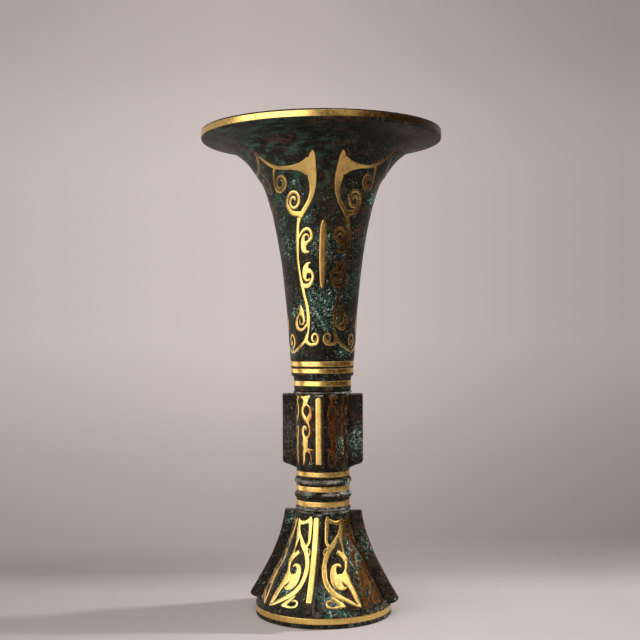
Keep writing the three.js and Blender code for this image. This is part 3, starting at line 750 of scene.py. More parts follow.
@dataclass(frozen=True)
class PatinatedBronze:
    """Cast leaded bronze, buried and cleaned: a dark skin with malachite grains and pale deposits.

    Its skin is copper oxide, not bare metal, so it is matt and hardly mirrors anything.

    Attributes:
        name: Name of the material.
        specks: How much malachite shows all over, from 0 to 1.
        film: sRGB hex colour of the thin film between the grains.
        crumbs: sRGB hex colour of the crumbs that stand on it.
        pale_heights: Heights in millimetres of the pale lines round the casting.
        green_places: Position, reach and strength of the spots where malachite is dense.
        tints: sRGB hex colour and spot of the patches where the skin has another colour; a purplish one on
        the neck's left edge is a painted sheen.
        bare_above: Height in millimetres over which there is hardly any malachite.
        fading: Height in millimetres over which the malachite fades out.
        streaked: Spots where green has run round the casting in thin streaks.
    """

    name: str
    specks: float
    film: str = "#101710"
    crumbs: str = "#4a5e4c"
    pale_heights: tuple[float, ...] = ()
    green_places: tuple[Spot, ...] = ()
    tints: tuple[Tint, ...] = ()
    bare_above: float = 1000.0
    fading: float = 14.0
    streaked: tuple[Spot, ...] = ()

    def make(self) -> bpy.types.Material:
        """Builds the material."""
        material, nodes = new_material(self.name)
        place = nodes.add("TexCoord", output="Object")
        height = nodes.add("SeparateXYZ", place, output="Z")
        broad = nodes.add("TexNoise", place, grain(20), 4, 0.55)
        middle = nodes.add("TexNoise", place, grain(4.5), 5, 0.65)
        small = nodes.add("TexNoise", place, grain(1.7), 4, 0.7)
        fine = nodes.add("TexNoise", place, grain(0.9), 5, 0.75)
        # The skin is brown-black tenorite over red cuprite, warmer where it is worn thin
        colour = nodes.add("ValToRGB", nodes.add("Mix", 0.6, broad, middle), stops=TENORITE_SKIN)
        gathered = nodes.add("MapRange", middle, 0.4, 0.54)
        # Patches of another skin colour; the purplish one on the neck's left edge is a painted sheen
        for code, spot in self.tints:
            spread = nodes.add("Math", near_spots(nodes, place, 0.0, (spot,)), gathered, operation="MULTIPLY")
            colour = nodes.add("Mix", spread, colour, code, data_type="RGBA")
        # A blackish film covers it in spots of 1 to 2 mm
        dusk = nodes.add("MapRange", small, 0.5, 0.56, 0.0, 0.8)
        colour = nodes.add("Mix", dusk, colour, self.film, data_type="RGBA")
        if self.streaked:
            where = near_spots(nodes, place, 0.0, self.streaked)
            streaks = nodes.add("Math", self._streaks(nodes, place), where, operation="MULTIPLY")
            colour = nodes.add("Mix", streaks, colour, GREEN_STREAK, data_type="RGBA")
        # Greyish crumbs of about 1 mm stand on it in uneven patches
        lumps = nodes.add("MapRange", nodes.add("TexNoise", place, grain(1.4), 4, 0.7), 0.55, 0.63)
        strewn = nodes.add("MapRange", nodes.add("TexNoise", place, grain(7), 3, 0.55), 0.42, 0.6, 0.15, 0.75)
        crumbs = nodes.add("Math", lumps, strewn, operation="MULTIPLY")
        colour = nodes.add("Mix", crumbs, colour, self.crumbs, data_type="RGBA")
        # Malachite lies in patches of 10 to 20 mm, as a thin film and as grains of about 1 mm
        first = 0.6 - 0.22 * self.specks
        scattered = nodes.add("MapRange", nodes.add("TexNoise", place, grain(13), 3, 0.55), first, first + 0.2)
        patches = near_spots(nodes, place, scattered, self.green_places)
        fade = (self.bare_above * MM, (self.bare_above - self.fading) * MM)
        kept = nodes.add("MapRange", height, *fade, 0.1, 1.0)
        patches = nodes.add("Math", patches, kept, operation="MULTIPLY")
        thin = nodes.add("MapRange", middle, 0.48, 0.62, 0.0, 0.65)
        film = nodes.add("Math", thin, patches, operation="MULTIPLY")
        colour = nodes.add("Mix", film, colour, MALACHITE_FILM, data_type="RGBA")
        grains = nodes.add("Math", patches, 0.15, fine, operation="MULTIPLY_ADD")
        green = nodes.add("MapRange", grains, 0.66, 0.695)
        malachite = nodes.add("ValToRGB", nodes.add("TexNoise", place, grain(2.2), 3, 0.6), stops=MALACHITE)
        colour = nodes.add("Mix", green, colour, malachite, data_type="RGBA")
        # A few bare pale grains of lime stick all over
        specks = nodes.add("MapRange", nodes.add("TexNoise", place, grain(1.1), 2, 0.5), 0.69, 0.72)
        limed = nodes.add("MapRange", height, *fade, 0.0, 0.85)
        lime = nodes.add("Math", specks, limed, operation="MULTIPLY")
        colour = nodes.add("Mix", lime, colour, LIME, data_type="RGBA")
        crusted = green
        # Pale lines round the casting at the given heights
        if self.pale_heights:
            pale = self._pale_lines(nodes, place, height, fine)
            colour = nodes.add("Mix", pale, colour, PALE_LINE_COLOUR, data_type="RGBA")
            crusted = nodes.add("Math", green, pale, operation="ADD")
        rough = nodes.add("Math", fine, 0.5, crusted, operation="MULTIPLY_ADD")
        relief = nodes.add("Mix", 0.55, middle, fine)
        raised = nodes.add("Math", crusted, 0.5, relief, operation="MULTIPLY_ADD")
        shader = nodes.add("BsdfPrincipled", named={
            "Base Color": colour,
            "Roughness": nodes.add("MapRange", rough, 0.1, 0.9, 0.36, 0.85),
            "Normal": nodes.add("Bump", named={"Height": raised, "Strength": 0.75, "Distance": 0.35 * MM}),
            "Metallic": 0.0,
            "Specular IOR Level": 0.12,
        })
        nodes.add("OutputMaterial", shader)
        return material

    def _streaks(self, nodes: Nodes, place: Socket) -> Socket:
        """Mask of thin level streaks round the axis, without a seam."""
        flat = nodes.add("VectorMath", place, (1.0, 1.0, 0.0), operation="MULTIPLY")
        reach = nodes.add("VectorMath", flat, operation="LENGTH")
        outward = nodes.add("VectorMath", flat, operation="NORMALIZE")
        round_it = nodes.add("VectorMath", outward, 14 * MM, operation="SCALE")
        level = nodes.add("CombineXYZ", 0.0, 0.0, reach)
        stretched = nodes.add("VectorMath", round_it, level, operation="ADD")
        return nodes.add("MapRange", nodes.add("TexNoise", stretched, grain(2.4), 4, 0.65), 0.5, 0.62)

    def _pale_lines(self, nodes: Nodes, place: Socket, height: Socket, fine: Socket) -> Socket:
        """Mask of pale lines at the given heights, broken up by the grain.

        Args:
            nodes: The material's nodes.
            place: Position in metres.
            height: Its height.
            fine: The finest noise.

        Returns:
            The mask, 0 where the bronze is clean.
        """
        total: Socket | float = 0.0
        for level in self.pale_heights:
            above = nodes.add("Math", height, level * MM, operation="SUBTRACT")
            away = nodes.add("Math", above, operation="ABSOLUTE")
            near = nodes.add("MapRange", away, 1.5 * MM, 0.4 * MM)
            total = nodes.add("Math", total, near, operation="MAXIMUM")
        wide = nodes.add("MapRange", nodes.add("TexNoise", place, grain(7), 3, 0.55), 0.42, 0.6)
        broken = nodes.add("Math", wide, nodes.add("MapRange", fine, 0.4, 0.6), operation="MULTIPLY")
        return nodes.add("Math", total, broken, operation="MULTIPLY")


@dataclass(frozen=True)
class InlaidGold:
    """Sheet gold hammered into the bronze and burnished, worn, with stain and painted shadow at its edges.

    Attributes:
        name: Name of the material.
        stain: How much dark stain lies over it, from 0 to 1.
        brown_and_shade_places: Position, reach and strength of the spots where the gold is darker, with earth
            stain in some finishes and painted shade in others.
        brown_and_shade: sRGB hex colour of those darker spots.
    """

    name: str
    stain: float
    brown_and_shade_places: tuple[Spot, ...] = ()
    brown_and_shade: str = "#6b3d1b"

    def make(self) -> bpy.types.Material:
        """Builds the material."""
        material, nodes = new_material(self.name)
        place = nodes.add("TexCoord", output="Object")
        broad = nodes.add("TexNoise", place, grain(14), 3, 0.55)
        middle = nodes.add("TexNoise", place, grain(2.4), 4, 0.6)
        fine = nodes.add("TexNoise", place, grain(0.5), 3, 0.6)
        # High-carat gold, redder where it is thin, darker in spots: earth stain in some finishes, painted shade
        # in others
        metal = nodes.add("ValToRGB", broad, stops=HIGH_CARAT_GOLD)
        if self.brown_and_shade_places:
            small = nodes.add("TexNoise", place, grain(1.1), 4, 0.65)
            patchy = nodes.add("MapRange", small, 0.36, 0.6, 1.0, 0.9)
            browned_and_shaded = near_spots(nodes, place, 0.0, self.brown_and_shade_places)
            browned_and_shaded = nodes.add("Math", browned_and_shaded, patchy, operation="MULTIPLY")
            metal = nodes.add("Mix", browned_and_shaded, metal, self.brown_and_shade, data_type="RGBA")
        # Dark stain and painted channel shadow lie along its border; dark stain lies in worn patches and
        # in pits of half a millimetre
        edge = nodes.add("Attribute", attribute_name="from_edge", output="Fac")
        rim = nodes.add("Math", middle, 0.24, edge, operation="MULTIPLY_ADD")
        worn = nodes.add("Math", broad, 0.5, middle, operation="MULTIPLY_ADD")
        stain_and_shadow = nodes.add("MapRange", fine, 0.3, 0.25, 0.0, 0.8)
        for mask in (nodes.add("MapRange", worn, 0.98, 0.84, self.stain, 0.0),
                     nodes.add("MapRange", rim, 0.33, 0.2, 0.0, 0.85)):
            stain_and_shadow = nodes.add("Math", stain_and_shadow, mask, operation="MAXIMUM")
        rough = nodes.add("Math", middle, stain_and_shadow, operation="ADD")
        relief = nodes.add("Mix", 0.3, middle, fine)
        shader = nodes.add("BsdfPrincipled", named={
            "Base Color": nodes.add("Mix", stain_and_shadow, metal, STAIN_AND_EDGE_SHADOW, data_type="RGBA"),
            "Roughness": nodes.add("MapRange", rough, 0.3, 1.3, 0.2, 0.58),
            "Metallic": nodes.add("MapRange", stain_and_shadow, 0.0, 1.0, 1.0, 0.2),
            "Normal": nodes.add("Bump", named={"Height": relief, "Strength": 0.45, "Distance": 0.14 * MM}),
        })
        nodes.add("OutputMaterial", shader)
        return material


@dataclass(frozen=True)
class JointFilling:
    """Grey soft solder at the joints, under a chalky whitish deposit."""

    name: str

    def make(self) -> bpy.types.Material:
        """Builds the material."""
        material, nodes = new_material(self.name)
        place = nodes.add("TexCoord", output="Object")
        crumbs = nodes.add("TexNoise", place, grain(1.6), 4, 0.55)
        wide = nodes.add("MapRange", nodes.add("TexNoise", place, grain(8), 2, 0.55), 0.6, 0.4)
        chalk = nodes.add("ValToRGB", crumbs, stops=CHALK)
        shader = nodes.add("BsdfPrincipled", named={
            "Base Color": nodes.add("Mix", wide, chalk, DULL_SOLDER, data_type="RGBA"),
            "Normal": nodes.add("Bump", named={"Height": crumbs, "Strength": 0.6, "Distance": 0.2 * MM}),
            "Roughness": 0.8,
            "Metallic": 0.1,
        })
        nodes.add("OutputMaterial", shader)
        return material


# Ornament, in millimetres: across from the middle of the ornament, height, half width

NECK_SCROLL: list[Stroke] = [
    [(8.4, 262.8, 0.1), (8.6, 260.2, 1.6), (8.3, 255.5, 2.2), (7.7, 250.0, 2.4), (7.1, 245.5, 1.9),
     (7.3, 240.8, 1.4), (8.9, 236.0, 1.15), (11.9, 231.0, 1.25), (14.1, 227.4, 1.15)],
    [(8.4, 254.8, 4.7), (11.3, 254.7, 4.3), (13.8, 254.6, 2.8), (17.0, 254.5, 1.7), (21.0, 254.5, 1.05),
     (27.0, 254.7, 0.85), (33.0, 256.1, 0.9), (39.0, 258.8, 0.75), (44.5, 262.0, 0.5), (48.5, 265.6, 0.1)],
    [(31.4, 255.9, 1.2), (32.5, 253.4, 1.0), (32.8, 250.2, 0.95)]
    + spiral((27.8, 247.2), (4.9, 1.5), -10, -1.75, (0.9, 0.4)),
    [(13.2, 229.7, 1.2), (16.5, 229.8, 1.4), (19.6, 230.8, 1.15), (21.6, 233.0, 0.9)]
    + spiral((18.3, 236.7), (4.7, 1.5), -10, 1.35, (0.85, 0.8), 1.22, 0.9) + [(17.0, 236.6, 0.3)],
    [(14.3, 227.6, 1.2), (15.1, 222.8, 0.9), (15.2, 217.0, 1.1), (15.2, 210.0, 0.85), (14.7, 203.0, 0.75),
     (13.3, 195.0, 0.75), (11.9, 189.6, 1.0), (10.4, 183.8, 0.8), (8.7, 178.2, 0.9), (7.7, 172.0, 0.9),
     (7.6, 168.4, 1.0), (7.4, 164.4, 0.5), (8.3, 160.7, 0.85), (9.2, 158.0, 1.3)],
    [(14.6, 215.8, 0.4), (13.3, 218.2, 0.6), (11.7, 220.2, 0.85), (9.7, 221.2, 0.95), (7.7, 220.4, 0.85),
     (6.6, 218.0, 0.75), (7.1, 215.5, 0.7), (9.1, 213.8, 0.85), (10.6, 212.5, 1.4)],
    [(8.0, 215.2, 0.35), (8.3, 217.1, 0.4), (9.7, 218.1, 0.65), (11.2, 217.1, 0.8), (11.7, 214.7, 1.2),
     (11.3, 211.8, 1.6), (10.8, 209.2, 1.4), (9.1, 208.3, 0.8), (7.5, 208.7, 0.2)],
    [(12.2, 190.4, 0.8), (9.9, 189.2, 1.3), (7.6, 189.7, 1.15), (6.0, 191.8, 0.8), (5.3, 194.4, 0.75),
     (6.1, 196.7, 0.85), (7.7, 197.7, 1.3), (9.1, 198.0, 1.7)],
    [(6.5, 202.5, 0.1), (7.9, 202.1, 0.6), (9.1, 201.0, 1.15), (10.0, 198.6, 1.6), (10.4, 195.6, 1.35),
     (10.1, 193.4, 0.95), (8.9, 192.3, 0.65), (7.6, 192.7, 0.55), (7.1, 193.8, 0.35)],
    [(13.1, 178.8, 0.1), (12.7, 176.8, 1.0), (12.1, 174.3, 1.5), (11.1, 171.9, 0.95), (10.5, 169.3, 0.6),
     (11.2, 167.6, 0.5), (12.6, 167.4, 0.4), (13.6, 168.9, 0.45), (13.2, 170.9, 0.3)],
    [(13.3, 174.0, 0.6), (14.9, 171.8, 0.7), (15.9, 168.9, 0.8), (15.2, 165.8, 1.0), (13.0, 164.3, 0.85),
     (10.7, 164.9, 0.75), (8.2, 167.6, 0.8)],
    [(9.0, 158.2, 1.2), (7.7, 156.7, 0.95), (6.0, 155.8, 0.8)]
    + spiral((3.7, 159.3), (2.2, 0.6), -75, -1.3, (0.8, 0.35), 1.55, 0.6),
    [(9.1, 158.5, 1.0), (10.7, 156.8, 0.9), (12.9, 154.9, 0.8), (16.4, 152.5, 0.75), (19.4, 151.0, 0.5)],
]
NECK_LENS: list[Stroke] = [
    [(0.0, 226.3, 0.4), (0.0, 224.8, 1.1), (0.0, 221.5, 1.8), (0.0, 214.5, 2.0), (0.0, 205.0, 1.95),
     (0.0, 197.0, 1.6), (0.0, 190.8, 1.15), (0.0, 187.8, 0.4)],
]
NECK_PENDANT: list[Stroke] = [
    [(0.0, 153.4, 0.5), (-2.4, 156.0, 0.55), (-2.3, 159.4, 0.55), (0.0, 161.6, 0.55), (2.3, 159.2, 0.55),
     (1.9, 156.0, 0.5), (0.2, 156.4, 0.5), (0.0, 158.6, 0.45)],
]
KNOP_SCROLL: list[Stroke] = [
    [(12.8, 126.0, 0.25), (11.0, 125.2, 0.8), (9.1, 125.2, 1.15), (7.4, 125.7, 0.95), (6.3, 126.6, 0.25)],
    [(9.2, 124.9, 1.9), (9.4, 122.9, 1.5), (10.1, 121.3, 1.25), (11.2, 119.4, 0.8), (11.5, 117.4, 0.7),
     (11.0, 115.6, 0.8), (9.6, 113.5, 1.15), (8.1, 111.3, 0.85), (7.0, 108.8, 0.6), (6.5, 106.2, 0.5),
     (7.0, 104.0, 0.6), (8.2, 102.1, 0.9)],
    [(8.6, 121.4, 0.5), (6.9, 120.2, 0.6), (6.1, 117.9, 0.7), (6.2, 115.5, 1.15), (7.0, 113.5, 1.4),
     (8.0, 111.5, 0.85)],
    [(8.8, 106.5, 0.3), (9.2, 108.1, 0.75), (10.3, 108.5, 0.9), (11.1, 106.9, 0.85), (11.2, 105.0, 0.7),
     (10.5, 103.0, 1.05), (9.5, 101.3, 1.65), (9.6, 99.0, 1.8), (9.5, 97.0, 1.5), (9.4, 95.3, 1.55),
     (10.3, 93.8, 1.0), (10.4, 91.5, 0.75), (10.5, 88.8, 0.65), (10.9, 86.7, 0.2)],
    [(9.0, 95.3, 1.1), (7.3, 94.5, 0.6), (6.2, 92.9, 0.45), (5.7, 90.5, 0.4), (5.5, 88.0, 0.2)],
    [(8.5, 95.9, 0.8), (6.0, 95.5, 0.5), (3.6, 95.6, 0.25)],
]
FOOT_SCROLL: list[Stroke] = [
    [(12.9, 56.4, 0.2), (12.7, 54.0, 0.8), (12.8, 50.5, 1.0), (12.6, 47.6, 1.45), (13.1, 44.8, 0.9),
     (14.1, 41.0, 0.45), (15.3, 37.0, 0.5), (16.7, 33.8, 0.9), (17.2, 31.0, 0.8), (17.1, 28.0, 0.9),
     (16.9, 26.0, 1.9), (18.0, 23.6, 2.1), (20.0, 21.0, 1.3), (22.6, 17.3, 1.15), (25.2, 13.0, 1.05),
     (27.7, 9.2, 0.2)],
    [(16.7, 33.0, 1.0), (15.6, 34.9, 1.15), (13.7, 36.7, 1.15), (11.4, 38.3, 1.0)],
    [(12.5, 48.2, 0.9), (10.5, 45.0, 1.05), (9.0, 41.8, 1.5), (7.0, 38.9, 1.4), (5.5, 34.8, 1.35),
     (5.0, 31.5, 1.3), (5.4, 28.0, 1.4), (6.5, 24.2, 1.25), (8.6, 20.6, 1.25), (12.0, 17.2, 1.25),
     (16.6, 14.7, 1.1), (21.2, 12.4, 0.95), (25.0, 10.4, 0.6), (28.1, 9.0, 0.12)],
    [(4.9, 57.6, 0.6), (4.9, 54.8, 1.2), (4.8, 51.0, 1.0), (4.9, 47.3, 0.95), (5.1, 43.8, 0.75),
     (6.5, 41.4, 0.75), (7.4, 39.9, 0.95)],
    [(12.4, 54.0, 1.35), (10.4, 53.8, 1.05), (8.4, 54.2, 0.85), (5.3, 55.5, 1.2)],
    [(6.7, 39.8, 0.45), (5.2, 40.1, 0.45), (4.2, 39.0, 0.45), (4.2, 37.8, 0.45), (4.9, 36.6, 0.5)],
    [(14.0, 29.8, 0.3), (13.9, 30.9, 0.6), (12.3, 31.4, 0.8), (10.7, 30.4, 1.4), (10.3, 28.4, 1.6),
     (10.9, 26.0, 1.95), (12.2, 23.8, 2.5), (13.8, 21.7, 2.4), (15.4, 20.2, 1.7), (17.1, 19.4, 1.05),
     (18.3, 19.6, 0.6), (18.6, 20.1, 0.3)],
    [(16.9, 24.9, 1.6), (14.5, 24.7, 2.1), (12.1, 24.6, 1.8)],
]
CORNER_SCROLL: list[Stroke] = [
    [(19.4, 10.2, 0.2), (17.1, 11.4, 1.0), (14.8, 12.9, 0.9), (12.6, 14.5, 0.7), (9.7, 16.4, 0.1)],
    [(18.9, 10.3, 0.25), (16.8, 10.6, 0.8), (14.4, 10.2, 0.6), (12.2, 10.2, 0.45), (10.1, 10.6, 0.5),
     (8.9, 11.6, 0.55), (8.8, 12.8, 0.6), (9.9, 13.6, 0.5), (11.5, 13.5, 0.4), (12.2, 12.8, 0.4)],
]


@dataclass(frozen=True)
class Finishes:
    """The materials that the castings and the gold share."""

    neck_bronze: bpy.types.Material
    knop_bronze: bpy.types.Material
    foot_bronze: bpy.types.Material
    gold: bpy.types.Material
    filling: bpy.types.Material
    browned_and_shaded: dict[str, bpy.types.Material]

    def lay_gold(self, bm: bmesh.types.BMesh, node: str) -> None:
        material = self.browned_and_shaded.get(node, self.gold)
        declare(new_piece(bm, f"{node}_sheet"), material, Slot.GOLD, node)


@dataclass
class TrumpetNeck:
    """Flared mouth, tapering neck and collar, with three units of gold scroll."""

    height: float = 280.0
    mouth: float = 70.0
    wall: float = 2.6
    neck_end: float = 18.1
    collar_top: float = 137.6
    collar: float = 16.8
    bottom: float = 128.8
    spigot: float = 13.0
    spigot_bore: float = 10.6
    spigot_end: float = 118.0
    units: int = 3
    steps: int = 176
    rim_steps: int = 240
    lip: tuple[Row, ...] = ((70.0, 279.3), (70.0, 275.7))
    lip_edge: tuple[Row, ...] = ((70.0, 275.2), (69.7, 274.7), (69.1, 274.4), (68.1, 274.2))
    outline: tuple[Row, ...] = (
        (66.8, 273.9), (58.6, 271.9), (52.4, 269.2), (47.8, 266.0), (43.5, 262.0), (37.7, 254.2),
        (33.3, 246.5), (28.1, 229.0), (23.8, 205.0), (21.2, 182.0), (19.3, 157.0), (18.0, 138.0),
    )
    turn: Turn = Turn(210.0, 1.4, 0.066)
    right: HandShift = HandShift(1.0, 0.04)

    def bands(self) -> dict[str, Band]:
        """The gold bands by name, from the top down."""
        return {
            "rim_gold_band": Band(self.lip, self.rim_steps),
            "neck_gold_band_upper": Band(upright(18.4, 144.7, 3.1)),
            "neck_gold_band_lower": Band(upright(18.15, 140.7, 2.8)),
            "collar_gold_band": Band(upright(self.collar - 0.15, 133.4, 3.1)),
        }

    def casting(self, surface: Surface) -> bmesh.types.BMesh:
        """The bronze, with grooves for its bands."""
        rim, upper, lower, collar = (gold.groove() for gold in self.bands().values())
        outside = [row for row in surface.rows[::2] if row[1] > upper[0][1] + 0.8]
        inside = [row for row in offset(surface.rows[::5], -self.wall) if row[1] > self.collar_top - 2.0]
        bm = spun(close_rows([
            (self.mouth - 2.0, self.height), (self.mouth - 0.35, self.height), (self.mouth, self.height - 0.3),
            *rim, *self.lip_edge, *outside, *upper, *lower, (self.neck_end, self.collar_top + 0.5),
            (self.neck_end - 0.4, self.collar_top), (self.collar + 0.1, self.collar_top - 0.5), *collar,
            (self.collar - 0.3, self.bottom + 0.4), (self.collar - 0.7, self.bottom),
            (self.spigot, self.bottom), (self.spigot, self.spigot_end), (self.spigot_bore, self.spigot_end),
            (self.spigot_bore, self.collar_top - 3.0), *inside[::-1], (self.mouth - 2.8, self.height - 0.5),
        ], 1.1), self.steps)
        weather(bm, lambda p: self._hidden(p, surface))
        return bm

    def _hidden(self, point: Vector, surface: Surface) -> bool:
        """Whether a point lies on the inner wall, below the mouth's edge."""
        middle_of_wall = surface.face(point.z)[0] - 1.4
        return math.hypot(point.x, point.y) < middle_of_wall and point.z < self.height - 3.0

    def build(self, finishes: Finishes) -> None:
        """Makes the casting and its gold."""
        surface = Surface(self.outline, self.turn, right=self.right)
        piece = new_piece(self.casting(surface), "neck_casting")
        declare(piece, finishes.neck_bronze, Slot.BRONZE, "trumpet_neck")
        for name, band in self.bands().items():
            finishes.lay_gold(band.build(), name)
        inlay = Inlay()
        for i in range(self.units):
            unit = FULL_TURN * i / self.units
            motifs = [(f"neck_scroll_{i + 1}_{side.name.lower()}", NECK_SCROLL, unit, side) for side in Side]
            motifs.append((f"neck_lens_{i + 1}", NECK_LENS, unit, Side.LEFT))
            motifs.append((f"neck_pendant_{i + 1}", NECK_PENDANT, unit + math.pi / self.units, Side.LEFT))
            for name, strokes, angle, side in motifs:
                finishes.lay_gold(inlay.scroll(strokes, surface, angle, side), name)


@dataclass
class Flange:
    """One of the four upright fins of the knop or the foot.

    Attributes:
        outline: Corners in the plane of the axis, radius and height.
        width: Thickness of the fin.
        worn: How far its corners are worn round.
        step: Size of its faces.
    """

    outline: Sequence[Row]
    width: float
    worn: float = 0.45
    step: float = 1.4

    def build(self, unit: float, turn: Turn) -> bmesh.types.BMesh:
        """Extrudes the fin, wears its corners, cuts it into rows and turns it to its place.

        Args:
            unit: Angle of the fin, in radians.
            turn: Turn of the casting.

        Returns:
            A closed mesh in millimetres.
        """
        bm = bmesh.new()
        face = bm.faces.new([bm.verts.new((r, -self.width / 2, z)) for r, z in self.outline])
        grown = bmesh.ops.extrude_face_region(bm, geom=[face])["geom"]
        bmesh.ops.translate(bm, vec=(0, self.width, 0), verts=new_verts(grown))
        bmesh.ops.recalc_face_normals(bm, faces=bm.faces)
        sharp = [e for e in bm.edges if e.calc_face_angle(0.0) > math.radians(40)]
        bmesh.ops.bevel(
            bm, geom=sharp, offset=self.worn, offset_type="OFFSET", segments=3, profile=0.5,
            affect="EDGES", material=-1, clamp_overlap=True,
        )
        self._slice(bm)

        def place(p: Vector) -> Vector:
            """Turns a point of the upright fin to its angle."""
            angle = unit - QUARTER + turn.at(p.z)
            across, along = math.cos(angle), math.sin(angle)
            return Vector((p.x * across - p.y * along, p.x * along + p.y * across, p.z))

        reshape(bm, place)
        return bm

    def _slice(self, bm: bmesh.types.BMesh) -> None:
        """Cuts the fin upright and level, so that its faces are small enough to weather."""
        for axis, normal in ((0, Vector((1, 0, 0))), (2, Vector((0, 0, 1)))):
            values = [v.co[axis] for v in bm.verts]
            low, high = min(values), max(values)
            count = max(1, round((high - low) / self.step))
            for k in range(1, count):
                bmesh.ops.bisect_plane(
                    bm, geom=bm.verts[:] + bm.edges[:] + bm.faces[:], plane_no=normal,
                    plane_co=normal * (low + (high - low) * k / count),
                )
        bmesh.ops.triangulate(bm, faces=[f for f in bm.faces if len(f.verts) > 4])


@dataclass
class FlangedCasting:
    """What the knop and the foot share: a rounded-square body with four flanges.

    Attributes:
        sides: How many flanges there are.
        flange_width: Thickness of each flange.
        strip_width: Width of its gold strip.
        flatness: How square the body is.
        turn: Turn of the casting about the axis.
        right: How the right half of the front ornament differs from the left one.
    """

    sides: int = 4
    flange_width: float = 4.6
    strip_width: float = 3.2
    flatness: float = 0.25
    turn: Turn = Turn(0.0, 0.0)
    right: HandShift = HandShift()

    def squared(self, rows: Sequence[Row], steps: int) -> bmesh.types.BMesh:
        """Spins a rounded-square body with crisp arrises and turns it to its place.

        Args:
            rows: Closed outline of radius and height.
            steps: Faces round it, a multiple of 8.

        Returns:
            A closed mesh in millimetres.
        """
        bm = spun(rows, steps)

        def off_arris(point: Vector) -> float:
            """Angle between a point and the nearest arris."""
            angle = math.atan2(point.x, -point.y) - QUARTER / 2
            return abs(angle - round(angle / QUARTER) * QUARTER)

        for edge in bm.edges:
            edge.smooth = not all(off_arris(v.co) < 0.01 for v in edge.verts)

        def place(p: Vector) -> Vector:
            """Squares a point's radius and turns it."""
            angle = math.atan2(p.x, -p.y)
            reach = math.hypot(p.x, p.y) * squareness(angle, self.flatness)
            turned = angle + self.turn.at(p.z)
            return Vector((reach * math.sin(turned), -reach * math.cos(turned), p.z))

        reshape(bm, place)
        return bm

    def flanges(self, outline: Sequence[Row]) -> list[bmesh.types.BMesh]:
        """The flanges, all cut to one outline of radius and height."""
        fin = Flange(outline, self.flange_width)
        return [fin.build(QUARTER * i, self.turn) for i in range(self.sides)]

    def lay_ornament(
        self, kind: str, face: Sequence[Row], surface: Surface, motifs: dict[str, list[Stroke]],
        finishes: Finishes,
    ) -> None:
        """Lays the gold strip of each flange and the scrolls on both sides of it.

        Args:
            kind: First word of the strips' names.
            face: Radius and height along a flange's outer face, from the top down.
            surface: The body that the scrolls are laid on.
            motifs: Strokes of each motif by its name.
            finishes: The materials.
        """
        inlay = Inlay()
        for i in range(self.sides):
            unit = QUARTER * i
            strip = inlay.strip(face, self.strip_width, unit, self.turn)
            finishes.lay_gold(strip, f"{kind}_flange_strip_{i + 1}")
            for side in Side:
                for motif, strokes in motifs.items():
                    scroll = inlay.scroll(strokes, surface, unit, side)
                    finishes.lay_gold(scroll, f"{motif}_{i + 1}_{side.name.lower()}")


@dataclass
class MiddleKnop(FlangedCasting):
    """Rounded-square knop with four flanges over the ridged lower neck."""

    top: float = 127.4
    radius: float = 17.0
    body_bottom: float = 84.4
    lower_neck: float = 15.4
    lower_neck_top: float = 85.9
    ridge: float = 16.6
    ridge_height: float = 1.6
    ridges: tuple[float, float] = (76.9, 68.6)
    bottom: float = 61.8
    spigot: float = 13.0
    spigot_end: float = 52.0
    bore: float = 13.3
    lower_bore: float = 10.4
    ledge: float = 85.0
    steps: int = 128
    flange_reach: float = 23.4
    flange_end: tuple[Row, ...] = (
        (23.4, 87.9), (23.0, 87.1), (21.8, 86.4), (19.4, 85.7), (16.4, 84.4), (14.6, 83.4),
    )
    strip_end: float = 88.1
    turn: Turn = Turn(105.0, -6.0)
    right: HandShift = HandShift(0.88, 0.0)

    def bands(self) -> dict[str, Band]:
        """The gold bands by name, from the top down."""
        return {
            "lower_neck_gold_band_upper": Band(upright(self.lower_neck, 81.2, 2.9)),
            "lower_neck_gold_band_middle": Band(upright(self.lower_neck, 72.8, 3.1)),
            "lower_neck_gold_band_lower": Band(upright(self.lower_neck, 64.2, 3.1)),
        }

    def casting(self) -> bmesh.types.BMesh:
        """The bronze: body, flanges and lower neck."""
        low = self.body_bottom - 1.3
        body = self.squared(close_rows([
            (self.bore, self.top), (self.radius - 0.3, self.top), (self.radius, self.top - 0.3),
            (self.radius, self.body_bottom), (self.radius - 0.5, self.body_bottom - 0.8),
            (self.radius - 1.4, low), (self.bore, low),
        ], 0.9), self.steps)
        root = self.lower_neck - 1.8
        fins = self.flanges([
            (root, self.top - 0.2), (self.flange_reach - 0.3, self.top - 0.2),
            (self.flange_reach, self.top - 0.5), *self.flange_end, (root, self.flange_end[-1][1]),
        ])
        high, middle, last = (band.groove() for band in self.bands().values())
        upper, lower = (self._ridge(z) for z in self.ridges)
        neck = spun(close_rows([
            (self.bore, self.lower_neck_top), (self.lower_neck, self.lower_neck_top), *high, *upper, *middle,
            *lower, *last, (self.lower_neck, self.bottom), (self.spigot, self.bottom),
            (self.spigot, self.spigot_end), (self.lower_bore, self.spigot_end), (self.lower_bore, self.ledge),
            (self.bore, self.ledge),
        ], 0.8), self.steps)
        bm = join([body, neck, *fins])
        weather(bm, lambda p: math.hypot(p.x, p.y) < self.bore + 0.3)
        return bm

    def _ridge(self, z: float, count: int = 8) -> list[Row]:
        """Rows of one worn ridge round the lower neck, from the top down."""
        rise = self.ridge - self.lower_neck
        return [
            (self.lower_neck + rise * math.sin(math.pi * k / count) ** 0.8,
             z + self.ridge_height * math.cos(math.pi * k / count))
            for k in range(count + 1)
        ]

    def build(self, finishes: Finishes) -> None:
        """Makes the casting and its gold."""
        side = [(self.radius, self.top), (self.radius, self.body_bottom)]
        surface = Surface(side, self.turn, self.flatness, self.right)
        piece = new_piece(self.casting(), "knop_casting")
        declare(piece, finishes.knop_bronze, Slot.BRONZE, "middle_knop")
        for name, band in self.bands().items():
            finishes.lay_gold(band.build(), name)
        face = [(self.flange_reach, self.top - 1.4), (self.flange_reach, self.strip_end)]
        self.lay_ornament("knop", face, surface, {"knop_scroll": KNOP_SCROLL}, finishes)


